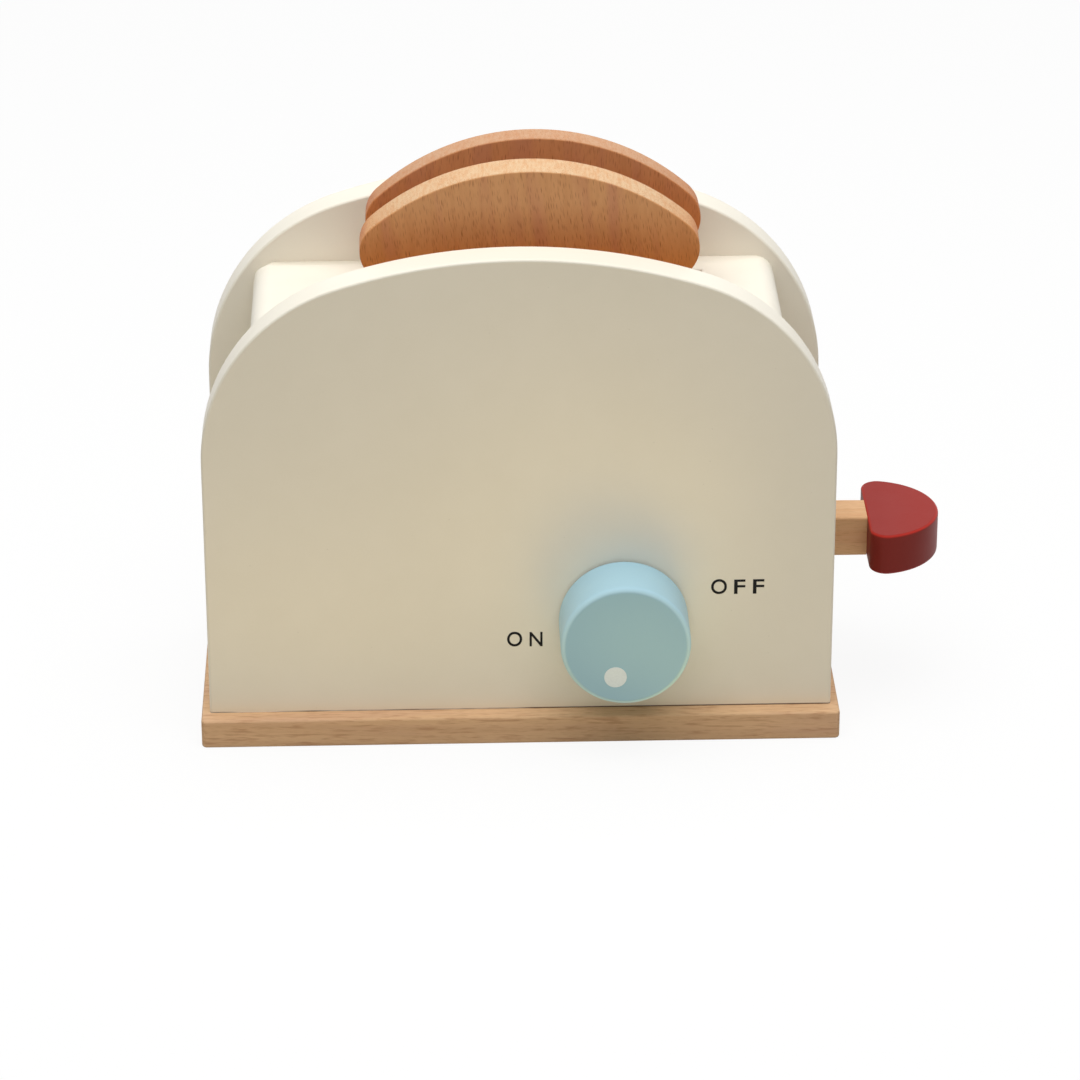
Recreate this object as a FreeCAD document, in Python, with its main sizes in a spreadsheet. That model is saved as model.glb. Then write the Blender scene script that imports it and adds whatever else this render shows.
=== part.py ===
"""A wooden toy toaster: arch-shaped panels on a base board, a body with two bread slots between them,
a sprung lever that lifts two bread slices, and a turning knob.

Millimetres. The origin is the centre of the base board's underside, +X points to the lever,
+Y to the back and +Z up. The front, with the knob, faces -Y.
"""
import FreeCAD, Part
import math
import os
import Sketcher
from FreeCAD import Placement, Rotation, Vector

# Driving dimensions: alias, size, what it measures.
SIZES = (
    ("base_width", 190, "base board, left to right"),
    ("base_depth", 87, "base board, front to back"),
    ("base_thick", 9, "base board"),
    ("base_corner", 1.5, "rounding of its upright corners"),
    ("board_round", 0.8, "easing of the edges of every board"),
    ("panel_width", 185, "arch-shaped panel"),
    ("panel_thick", 10.7, "arch-shaped panel"),
    ("side_height", 81.3, "straight side of a panel, from the base board to the arch"),
    ("shoulder_radius", 57.3, "arch: its two outer arcs"),
    ("crown_radius", 168.7, "arch: the flatter arc between them"),
    ("inner_depth", 54.8, "gap between the two panels"),
    ("body_width", 156, "body between the panels"),
    ("body_height", 117.8, "body, from the base board to the top with the slots"),
    ("body_corner", 6, "rounding of the body's top corners"),
    ("wall_thick", 10, "left and right wall"),
    ("top_thick", 10, "top board"),
    ("slot_pitch", 20.5, "from bread slot to bread slot"),
    ("slot_side_gap", 1.4, "slice to the slot's long side, at either end of the lever's stroke"),
    ("slot_end_gap", 1.0, "slice to the slot's end"),
    ("bread_width", 98.6, "slice, across its lobes"),
    ("bread_waist", 87, "slice, below its lobes"),
    ("bread_height", 103.2, "slice"),
    ("bread_thick", 9.4, "slice"),
    ("bread_crown", 68.9, "slice, radius of its top"),
    ("bread_lobe", 10.5, "slice, radius of each lobe"),
    ("bread_hollow", 9, "slice, radius of the hollow under each lobe"),
    ("bread_foot", 8, "slice, radius of its bottom corners"),
    ("bread_round", 0.5, "slice, easing of its edges"),
    ("bread_lean", 3.5, "slices, how far their tops lean apart, in degrees from upright"),
    ("front_shift", 3.7, "how far right of the middle the front slice stands"),
    ("back_shift", 5.3, "how far right of the middle the back slice stands"),
    ("bar_size", 12.8, "lever arm, square section"),
    ("bar_rest", 33.5, "gap under the arm when the lever is up"),
    ("bar_past_rod", 6, "arm, from the left rod's middle to its inner end"),
    ("bar_right", 105.2, "arm's outer end, right of the middle"),
    ("bar_gap", 0.4, "play of the arm in the wall's slot, each side"),
    ("stop_gap", 0.2, "arm to the top end of that slot, lever up"),
    ("lever_travel", 22, "stroke of the lever"),
    ("end_gap", 0.8, "arm to the bottom end of that slot, lever down"),
    ("handle_radius", 20.1, "handle, its round side"),
    ("handle_flat", 1.8, "handle, from its centre to the flat side"),
    ("handle_corner", 5, "handle, where flat and round meet"),
    ("handle_round", 0.9, "handle, easing of its edges"),
    ("rest_width", 11, "rest under the slices, along the arm"),
    ("rest_depth", 44, "rest, front to back"),
    ("rest_height", 14, "rest, from the arm to the slices"),
    ("rest_pitch", 52, "from rest to rest"),
    ("groove_depth", 2, "groove that a slice stands in"),
    ("groove_gap", 0.6, "slice to the groove's side"),
    ("rod_diameter", 5, "guide rod"),
    ("rod_pitch", 121, "from rod to rod"),
    ("rod_socket", 5, "how far a rod sits in the boards"),
    ("rod_gap", 0.1, "running fit of the arm on the rods, radial"),
    ("wire_diameter", 1, "spring wire"),
    ("spring_gap", 0.5, "inside of the spring to the rod"),
    ("spring_turns", 6, "turns of a spring"),
    ("knob_diameter", 38.2, "knob"),
    ("knob_thick", 18.1, "knob"),
    ("knob_round", 1.8, "knob, rounding of its front rim"),
    ("knob_back_round", 0.6, "knob, easing at the back"),
    ("knob_right", 30.4, "knob's axis, right of the middle"),
    ("knob_up", 29.6, "knob's axis, above the base board"),
    ("spacer_thick", 0.5, "washer behind the knob"),
    ("spacer_diameter", 16, "washer behind the knob"),
    ("washer_thick", 1, "washer under the knob's screw"),
    ("washer_diameter", 11, "washer under the knob's screw"),
    ("turn_gap", 0.1, "play of the knob and its screw along the axis"),
    ("axle_diameter", 4, "shank of the knob's screw"),
    ("axle_gap", 0.1, "running fit of that shank in the panel, radial"),
    ("axle_head", 8, "head of the knob's screw, across"),
    ("axle_head_thick", 2.4, "head of the knob's screw"),
    ("axle_grip", 11, "how far that screw goes into the knob"),
    ("screw_diameter", 3.5, "wood screw, shank"),
    ("screw_head", 7, "wood screw, head across"),
    ("base_grip", 15, "how far a base screw goes into a panel or wall"),
    ("rest_grip", 9, "how far a rest's screw goes into the rest"),
    ("panel_screw_pitch", 70, "from screw to screw along a panel"),
    ("wall_screw_pitch", 30, "from screw to screw along a wall"),
    ("dowel_diameter", 6, "wooden dowel"),
    ("dowel_in_panel", 7, "dowel, length in a panel"),
    ("dowel_in_board", 15, "dowel, length in a wall or the top board"),
    ("dowel_low", 22, "lower dowels, above the base board"),
    ("dowel_high", 84, "upper dowels, above the base board"),
    ("top_dowel_pitch", 132, "from dowel to dowel along the top board"),
    ("handle_dowel_half", 12, "handle's dowel, length each side of the joint"),
    ("dowel_gap", 0.5, "spare depth at each dowel's end"),
)

doc = FreeCAD.newDocument("ToyToaster")
sheet = doc.addObject("Spreadsheet::Sheet", "Sizes")
for row, (alias, size, meaning) in enumerate(SIZES, start=1):
    sheet.set(f"A{row}", alias)
    sheet.set(f"B{row}", str(size))
    sheet.setAlias(f"B{row}", alias)
    sheet.set(f"C{row}", meaning)
doc.recompute()

nodes = []


# ---------------------------------------------------------------- helpers

def value(expression):
    """What an expression on the sheet's aliases comes to."""
    return float(sheet.evalExpression(expression))


def sized(expression):
    """The same expression as another object of the document writes it."""
    names = sorted((alias for alias, _, _ in SIZES), key=len, reverse=True)
    words, word = [], ""
    for letter in expression + " ":
        if letter.isalnum() or letter == "_":
            word += letter
            continue
        words.append(f"Sizes.{word}" if word in names else word)
        words.append(letter)
        word = ""
    return "".join(words).strip()


def bind(thing, prop, expression):
    thing.setExpression(prop, sized(expression))


def new_body(name):
    body = doc.addObject("PartDesign::Body", name)
    body.Label = name
    nodes.append(body)
    return body


def place(thing, x="0", y="0", z="0"):
    """Puts a sub-part's own origin at a point of the toaster."""
    for axis, expression in zip("xyz", (x, y, z)):
        bind(thing, f"Placement.Base.{axis}", expression)


def sketch_on(body, name, role, height="0"):
    """An empty sketch on one of the body's own planes, or at a height above it."""
    profile = body.newObject("Sketcher::SketchObject", name)
    origin = [f for f in body.Origin.OriginFeatures if f.Role == role][0]
    profile.AttachmentSupport = [(origin, "")]
    profile.MapMode = "FlatFace"
    bind(profile, "AttachmentOffset.Base.z", height)
    return profile


def dimension(profile, name, kind, places, expression):
    """A named dimension of a sketch, driven by the sheet."""
    index = profile.addConstraint(Sketcher.Constraint(kind, *places, value(expression)))
    profile.renameConstraint(index, name)
    bind(profile, f"Constraints.{name}", expression)


def add_circle(profile, name, x, y, radius):
    """A circle whose centre and radius are driven by the sheet."""
    centre = Vector(value(x), value(y), 0)
    circle = profile.addGeometry(Part.Circle(centre, Vector(0, 0, 1), value(radius)))
    dimension(profile, f"{name}_radius", "Radius", (circle,), radius)
    dimension(profile, f"{name}_x", "DistanceX", (-1, 1, circle, 3), x)
    dimension(profile, f"{name}_y", "DistanceY", (-1, 1, circle, 3), y)


def add_box(profile, name, x, y, width, height):
    """A rectangle about the point x, y."""
    left, right = value(f"({x}) - ({width}) / 2"), value(f"({x}) + ({width}) / 2")
    low, high = value(f"({y}) - ({height}) / 2"), value(f"({y}) + ({height}) / 2")
    corners = [Vector(left, low), Vector(right, low), Vector(right, high), Vector(left, high)]
    lines = [
        profile.addGeometry(Part.LineSegment(corners[i], corners[(i + 1) % 4])) for i in range(4)
    ]
    for i, line in enumerate(lines):
        profile.addConstraint(Sketcher.Constraint("Coincident", line, 2, lines[(i + 1) % 4], 1))
        profile.addConstraint(Sketcher.Constraint(("Horizontal", "Vertical")[i % 2], line))
    dimension(profile, f"{name}_width", "DistanceX", (lines[0], 1, lines[0], 2), width)
    dimension(profile, f"{name}_height", "DistanceY", (lines[1], 1, lines[1], 2), height)
    dimension(profile, f"{name}_left", "DistanceX", (-1, 1, lines[0], 1), f"({x}) - ({width}) / 2")
    dimension(profile, f"{name}_low", "DistanceY", (-1, 1, lines[0], 1), f"({y}) - ({height}) / 2")


def add_slanted_box(profile, name, x, y, width, height, turn):
    """A rectangle that stands on the point x, y with the middle of its lower side.

    It is turned about that point by an angle in degrees.
    """
    cosine, sine = f"cos({turn} * 1 deg)", f"sin({turn} * 1 deg)"
    start_x, start_y = f"({x}) - ({width}) / 2 * {cosine}", f"({y}) - ({width}) / 2 * {sine}"
    start = Vector(value(start_x), value(start_y), 0)
    along = Vector(value(cosine), value(sine), 0) * value(width)
    up = Vector(-value(sine), value(cosine), 0) * value(height)
    corners = [start, start + along, start + along + up, start + up]
    lines = [
        profile.addGeometry(Part.LineSegment(corners[i], corners[(i + 1) % 4])) for i in range(4)
    ]
    for i, line in enumerate(lines):
        profile.addConstraint(Sketcher.Constraint("Coincident", line, 2, lines[(i + 1) % 4], 1))
    for i in range(3):
        profile.addConstraint(Sketcher.Constraint("Perpendicular", lines[i], lines[i + 1]))
    slant = profile.addConstraint(
        Sketcher.Constraint("Angle", lines[0], math.radians(value(turn)))
    )
    profile.renameConstraint(slant, f"{name}_turn")
    bind(profile, f"Constraints.{name}_turn", f"{turn} * 1 deg")
    dimension(profile, f"{name}_width", "Distance", (lines[0],), width)
    dimension(profile, f"{name}_height", "Distance", (lines[1],), height)
    dimension(profile, f"{name}_x", "DistanceX", (-1, 1, lines[0], 1), start_x)
    dimension(profile, f"{name}_y", "DistanceY", (-1, 1, lines[0], 1), start_y)


def line(start, end):
    """A straight piece of a chain."""
    return Part.LineSegment(start, end), False


def arc(centre, radius, start, end):
    """A round piece of a chain, from one angle to another in degrees, either way round.

    A sketch keeps every arc anticlockwise, so one that runs clockwise is marked as backwards.
    """
    circle = Part.Circle(centre, Vector(0, 0, 1), radius)
    low, high = math.radians(min(start, end)), math.radians(max(start, end))
    return Part.ArcOfCircle(circle, low, high), end < start


def add_chain(profile, pieces):
    """A closed chain of lines and arcs; where an arc meets its neighbour the two are tangent."""
    ends = []
    for geometry, backwards in pieces:
        index = profile.addGeometry(geometry)
        ends.append((index, 2, 1) if backwards else (index, 1, 2))
    for here, (index, _, last) in enumerate(ends):
        there = (here + 1) % len(ends)
        round_one = any(isinstance(pieces[k][0], Part.ArcOfCircle) for k in (here, there))
        kind = "Tangent" if round_one else "Coincident"
        profile.addConstraint(Sketcher.Constraint(kind, index, last, ends[there][0], ends[there][1]))
    return [index for index, _, _ in ends]


def pad(body, profile, length, symmetric=False, reverse=False):
    feature = body.newObject("PartDesign::Pad", f"{profile.Name}_pad")
    feature.Profile = profile
    bind(feature, "Length", length)
    feature.SideType = "Symmetric" if symmetric else "One side"
    feature.Reversed = reverse
    doc.recompute()
    return feature


def pocket(body, profile, depth=None, reverse=False, symmetric=False):
    """Cuts the profile away: to a depth, or right through. It has to take something."""
    before = body.Shape.Volume
    feature = body.newObject("PartDesign::Pocket", f"{profile.Name}_pocket")
    feature.Profile = profile
    if depth is None:
        feature.Type = "ThroughAll"
    else:
        bind(feature, "Length", depth)
    feature.SideType = "Symmetric" if symmetric else "One side"
    feature.Reversed = reverse
    doc.recompute()
    if not body.Shape.Volume < before:
        raise RuntimeError(f"{feature.Name} cuts nothing")
    return feature


def revolve(body, profile, role):
    feature = body.newObject("PartDesign::Revolution", f"{profile.Name}_turned")
    feature.Profile = profile
    axis = [f for f in body.Origin.OriginFeatures if f.Role == role][0]
    feature.ReferenceAxis = (axis, [""])
    feature.Angle = 360
    doc.recompute()
    return feature


def ease(body, radius, wanted):
    """Rounds the edges of the body's last feature that the test picks out."""
    base = body.Tip
    names = [f"Edge{i}" for i, edge in enumerate(base.Shape.Edges, start=1) if wanted(edge)]
    feature = body.newObject("PartDesign::Fillet", f"{base.Name}_eased")
    feature.Base = (base, names)
    bind(feature, "Radius", radius)
    doc.recompute()
    return feature


def countersunk_holes(body, profile, diameter, head):
    """Screw holes right through, with the head's cone at the sketch's plane."""
    feature = body.newObject("PartDesign::Hole", f"{profile.Name}_sunk")
    feature.Profile = profile
    doc.recompute()
    feature.ThreadType = "None"
    feature.HoleCutType = "Countersink"
    bind(feature, "Diameter", diameter)
    bind(feature, "HoleCutDiameter", head)
    feature.HoleCutCountersinkAngle = 90
    feature.DepthType = "ThroughAll"
    feature.Reversed = True
    doc.recompute()
    return feature


def span(edge, axis):
    """How far an edge reaches along an axis."""
    box = edge.BoundBox
    return {"x": box.XLength, "y": box.YLength, "z": box.ZLength}[axis]


def near(a, b):
    return abs(a - b) < 1e-6


# ---------------------------------------------------------------- places that pieces share

wall_height = "body_height - top_thick"
wall_middle = "(body_width - wall_thick) / 2"
panel_middle = "(inner_depth + panel_thick) / 2"
panel_face = "inner_depth / 2 + panel_thick"
knob_back = f"-({panel_face}) - spacer_thick - turn_gap"
bar_low = "base_thick + bar_rest"
bar_left = "rod_pitch / 2 + bar_past_rod"
bread_middle = "(front_shift + back_shift) / 2"
rest_right_x = f"{bread_middle} + rest_pitch / 2"
rest_left_x = f"{bread_middle} - rest_pitch / 2"
bread_low = "base_thick + bar_rest + bar_size + rest_height"
bread_drift = "tan(bread_lean * 1 deg)"
screw_sink = "(screw_head - screw_diameter) / 2"

# With the lever half down, the middle of a slice passes the middle of its slot.
foot_to_slot = f"base_thick + body_height - top_thick / 2 - ({bread_low}) + lever_travel / 2"
bread_y = f"slot_pitch / 2 - ({foot_to_slot}) * {bread_drift}"
slot_width = (f"bread_thick / cos(bread_lean * 1 deg) + (top_thick + lever_travel) * {bread_drift}"
              " + 2 * slot_side_gap")
slot_length = "bread_width + 2 * slot_end_gap"

# Where the base screws stand: under each panel and under each wall.
panel_screws = [(f"{step} * panel_screw_pitch", "0") for step in (-1, 0, 1)]
wall_screws = [("0", f"{side} * wall_screw_pitch / 2") for side in (-1, 1)]
# Where the dowels go into a panel: x, and height above the base board.
wall_dowels = [
    (f"{side} * {wall_middle}", level) for side in (-1, 1) for level in ("dowel_low", "dowel_high")
]
top_dowels = [
    (f"{side} * top_dowel_pitch / 2", "body_height - top_thick / 2") for side in (-1, 1)
]
arm_rods = [("left", "-rod_pitch / 2"), ("right", "rod_pitch / 2")]


# ---------------------------------------------------------------- base board

def make_base_board():
    body = new_body("base_board")
    outline = sketch_on(body, "base_outline", "XY_Plane")
    add_box(outline, "board", "0", "0", "base_width", "base_depth")
    pad(body, outline, "base_thick")
    thick = value("base_thick")
    ease(body, "base_corner", lambda edge: near(span(edge, "z"), thick))
    ease(body, "board_round", lambda edge: span(edge, "z") < 1e-6)

    holes = sketch_on(body, "base_screw_holes", "XY_Plane")
    for side in (-1, 1):
        for step, (x, _) in enumerate(panel_screws):
            name = f"panel{side + 1}{step}"
            add_circle(holes, name, x, f"{side} * {panel_middle}", "screw_diameter / 2")
        for step, (_, y) in enumerate(wall_screws):
            name = f"wall{side + 1}{step}"
            add_circle(holes, name, f"{side} * {wall_middle}", y, "screw_diameter / 2")
    countersunk_holes(body, holes, "screw_diameter", "screw_head")

    sockets = sketch_on(body, "base_rod_sockets", "XY_Plane", "base_thick")
    for name, x in arm_rods:
        add_circle(sockets, name, x, "0", "rod_diameter / 2")
    pocket(body, sockets, "rod_socket")


# ---------------------------------------------------------------- arch-shaped panels

def arch_outline(profile):
    """Straight sides, two shoulders and a flatter crown, each tangent to the next."""
    half, rise = value("panel_width / 2"), value("side_height")
    small, large = value("shoulder_radius"), value("crown_radius")
    shoulder_x = half - small
    drop = math.sqrt((large - small) ** 2 - shoulder_x ** 2)
    turn = math.degrees(math.atan2(drop, shoulder_x))
    right, left = Vector(shoulder_x, rise, 0), Vector(-shoulder_x, rise, 0)
    crown = Vector(0, rise - drop, 0)
    foot_left, foot_right = Vector(-half, 0, 0), Vector(half, 0, 0)
    chain = add_chain(profile, [
        line(foot_left, foot_right),
        line(foot_right, foot_right + Vector(0, rise, 0)),
        arc(right, small, 0, turn),
        arc(crown, large, turn, 180 - turn),
        arc(left, small, 180 - turn, 180),
        line(foot_left + Vector(0, rise, 0), foot_left),
    ])
    foot, side, shoulder, top, shoulder_left, side_left = chain
    for constraint in (
        ("Horizontal", foot),
        ("Vertical", side),
        ("Vertical", side_left),
        ("Symmetric", foot, 1, foot, 2, -1, 1),
        ("Horizontal", side, 2, side_left, 1),
        ("Equal", shoulder, shoulder_left),
    ):
        profile.addConstraint(Sketcher.Constraint(*constraint))
    dimension(profile, "width", "DistanceX", (foot, 1, foot, 2), "panel_width")
    dimension(profile, "side", "DistanceY", (side, 1, side, 2), "side_height")
    dimension(profile, "shoulder", "Radius", (shoulder,), "shoulder_radius")
    dimension(profile, "crown", "Radius", (top,), "crown_radius")


def make_panel(name, side):
    """side is -1 for the front panel and 1 for the back one: the way its outer face looks."""
    body = new_body(name)
    outline = sketch_on(body, f"{name}_arch", "XZ_Plane")
    arch_outline(outline)
    pad(body, outline, "panel_thick", symmetric=True)
    ease(body, "board_round", lambda edge: span(edge, "y") < 1e-6 and edge.BoundBox.ZMax > 1e-6)

    dowels = sketch_on(body, f"{name}_dowels", "XZ_Plane", f"{side} * panel_thick / 2")
    for step, (x, level) in enumerate(wall_dowels + top_dowels):
        add_circle(dowels, f"dowel{step}", x, level, "dowel_diameter / 2")
    pocket(body, dowels, "dowel_in_panel + dowel_gap", reverse=side < 0)

    pilots = sketch_on(body, f"{name}_pilots", "XY_Plane")
    for step, (x, y) in enumerate(panel_screws):
        add_circle(pilots, f"pilot{step}", x, y, "screw_diameter / 2")
    pocket(body, pilots, "base_grip", reverse=True)

    if side < 0:
        bore = sketch_on(body, "knob_bore", "XZ_Plane")
        add_circle(bore, "bore", "knob_right", "knob_up", "axle_diameter / 2 + axle_gap")
        pocket(body, bore, "2 * panel_thick", symmetric=True)
    place(body, y=f"{side} * {panel_middle}", z="base_thick")


# ---------------------------------------------------------------- body between the panels

def make_top_board():
    """Lies on the two walls. Its own origin is the middle of its underside."""
    body = new_body("top_board")
    outline = sketch_on(body, "top_outline", "XZ_Plane")
    add_box(outline, "end", "0", "top_thick / 2", "body_width", "top_thick")
    pad(body, outline, "inner_depth", symmetric=True)
    thick, depth = value("top_thick"), value("inner_depth")
    ease(body, "body_corner", lambda edge: near(edge.BoundBox.ZMin, thick)
         and near(span(edge, "y"), depth))

    slots = sketch_on(body, "bread_slots", "XY_Plane")
    for name, side in (("front", -1), ("back", 1)):
        add_box(slots, name, f"{name}_shift", f"{side} * slot_pitch / 2", slot_length, slot_width)
    pocket(body, slots, reverse=True)
    left = value(f"min(front_shift; back_shift) - ({slot_length}) / 2")
    right = value(f"max(front_shift; back_shift) + ({slot_length}) / 2")
    # the slots' ends are chopped square, and their rims are eased where the slices go in
    ease(body, "board_round", lambda edge: near(edge.BoundBox.ZMin, thick)
         and span(edge, "z") < 1e-6 and edge.BoundBox.XMin > left - 1e-6
         and edge.BoundBox.XMax < right + 1e-6)

    sockets = sketch_on(body, "top_rod_sockets", "XY_Plane")
    for name, x in arm_rods:
        add_circle(sockets, name, x, "0", "rod_diameter / 2")
    pocket(body, sockets, "rod_socket", reverse=True)

    for side in (-1, 1):
        edge_face = f"{side} * inner_depth / 2"
        dowels = sketch_on(body, f"top_dowels{side + 1}", "XZ_Plane", edge_face)
        for step, (x, _) in enumerate(top_dowels):
            add_circle(dowels, f"dowel{step}", x, "top_thick / 2", "dowel_diameter / 2")
        pocket(body, dowels, "dowel_in_board + dowel_gap", reverse=side < 0)
    place(body, z=f"base_thick + {wall_height}")


def make_wall(name, side):
    """side is -1 for the left wall and 1 for the right one, which the lever arm goes through."""
    body = new_body(name)
    outline = sketch_on(body, f"{name}_outline", "XY_Plane")
    add_box(outline, "wall", "0", "0", "wall_thick", "inner_depth")
    pad(body, outline, wall_height)

    if side > 0:
        slot = sketch_on(body, "lever_slot", "YZ_Plane")
        slot_height = "lever_travel + bar_size + stop_gap + end_gap"
        middle = "bar_rest + bar_size + stop_gap - (lever_travel + bar_size + stop_gap + end_gap) / 2"
        add_box(slot, "slot", "0", middle, "bar_size + 2 * bar_gap", slot_height)
        pocket(body, slot, "2 * wall_thick", symmetric=True)

    for face in (-1, 1):
        dowels = sketch_on(body, f"{name}_dowels{face + 1}", "XZ_Plane", f"{face} * inner_depth / 2")
        for level in ("dowel_low", "dowel_high"):
            add_circle(dowels, level, "0", level, "dowel_diameter / 2")
        pocket(body, dowels, "dowel_in_board + dowel_gap", reverse=face < 0)

    pilots = sketch_on(body, f"{name}_pilots", "XY_Plane")
    for step, (x, y) in enumerate(wall_screws):
        add_circle(pilots, f"pilot{step}", x, y, "screw_diameter / 2")
    pocket(body, pilots, "base_grip", reverse=True)
    place(body, x=f"{side} * {wall_middle}", z="base_thick")


# ---------------------------------------------------------------- lever and its carriage

def make_lever_arm():
    """A square bar. Its own origin is on its underside, in the middle of the toaster."""
    body = new_body("lever_arm")
    outline = sketch_on(body, "arm_outline", "XY_Plane")
    whole, middle = f"bar_right + {bar_left}", f"(bar_right - ({bar_left})) / 2"
    add_box(outline, "arm", middle, "0", whole, "bar_size")
    pad(body, outline, "bar_size")
    length = value(whole)
    ease(body, "board_round", lambda edge: near(span(edge, "x"), length))

    guides = sketch_on(body, "guide_bores", "XY_Plane")
    for name, x in arm_rods:
        add_circle(guides, name, x, "0", "rod_diameter / 2 + rod_gap")
    pocket(body, guides, reverse=True)

    holes = sketch_on(body, "rest_screw_holes", "XY_Plane")
    add_circle(holes, "left", rest_left_x, "0", "screw_diameter / 2")
    add_circle(holes, "right", rest_right_x, "0", "screw_diameter / 2")
    countersunk_holes(body, holes, "screw_diameter", "screw_head")

    bore = sketch_on(body, "arm_dowel_bore", "YZ_Plane", "bar_right")
    add_circle(bore, "bore", "0", "bar_size / 2", "dowel_diameter / 2")
    pocket(body, bore, "handle_dowel_half + dowel_gap")
    place(body, z=bar_low)


def make_lever_handle():
    """A D in plan, as thick as the arm. Its own origin is the middle of its flat side."""
    body = new_body("lever_handle")
    outline = sketch_on(body, "handle_outline", "XY_Plane")
    radius, flat, corner = (value(n) for n in ("handle_radius", "handle_flat", "handle_corner"))
    centre = Vector(flat, 0, 0)
    # a corner's centre is its radius off the flat side, and inside the round side by as much
    corner_x = corner
    corner_y = math.sqrt((radius - corner) ** 2 - (corner_x - flat) ** 2)
    turn = math.degrees(math.atan2(corner_y, corner_x - flat))
    upper, lower = Vector(corner_x, corner_y, 0), Vector(corner_x, -corner_y, 0)
    chain = add_chain(outline, [
        line(Vector(0, corner_y, 0), Vector(0, -corner_y, 0)),
        arc(lower, corner, 180, 360 - turn),
        arc(centre, radius, -turn, turn),
        arc(upper, corner, turn, 180),
    ])
    side, low_corner, round_side, high_corner = chain
    for constraint in (
        ("Vertical", side),
        ("Symmetric", side, 1, side, 2, -1, 1),
        ("Equal", low_corner, high_corner),
    ):
        outline.addConstraint(Sketcher.Constraint(*constraint))
    dimension(outline, "round_side", "Radius", (round_side,), "handle_radius")
    dimension(outline, "corner", "Radius", (low_corner,), "handle_corner")
    dimension(outline, "flat", "DistanceX", (-1, 1, round_side, 3), "handle_flat")
    pad(body, outline, "bar_size")
    ease(body, "handle_round", lambda edge: span(edge, "z") < 1e-6)

    bore = sketch_on(body, "handle_dowel_bore", "YZ_Plane")
    add_circle(bore, "bore", "0", "bar_size / 2", "dowel_diameter / 2")
    pocket(body, bore, "handle_dowel_half + dowel_gap", reverse=True)
    place(body, x="bar_right", z=bar_low)


def make_rest(name, x):
    """A cross piece with a slanted groove for each slice, which makes the slices lean apart.

    Its own origin is the middle of its underside.
    """
    body = new_body(name)
    outline = sketch_on(body, f"{name}_outline", "YZ_Plane")
    height = "rest_height + groove_depth"
    add_box(outline, "block", "0", f"({height}) / 2", "rest_depth", height)
    pad(body, outline, "rest_width", symmetric=True)
    tall = value(height)
    ease(body, "board_round", lambda edge: near(span(edge, "z"), tall))

    grooves = sketch_on(body, f"{name}_grooves", "YZ_Plane")
    for side in (-1, 1):
        add_slanted_box(grooves, f"groove{side + 1}", f"{side} * ({bread_y})", "rest_height",
                        "bread_thick + 2 * groove_gap", "2 * groove_depth", f"{-side} * bread_lean")
    pocket(body, grooves, "2 * rest_width", symmetric=True)

    pilot = sketch_on(body, f"{name}_pilot", "XY_Plane")
    add_circle(pilot, "pilot", "0", "0", "screw_diameter / 2")
    pocket(body, pilot, "rest_grip", reverse=True)
    place(body, x=x, z=f"{bar_low} + bar_size")


# ---------------------------------------------------------------- bread

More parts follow.
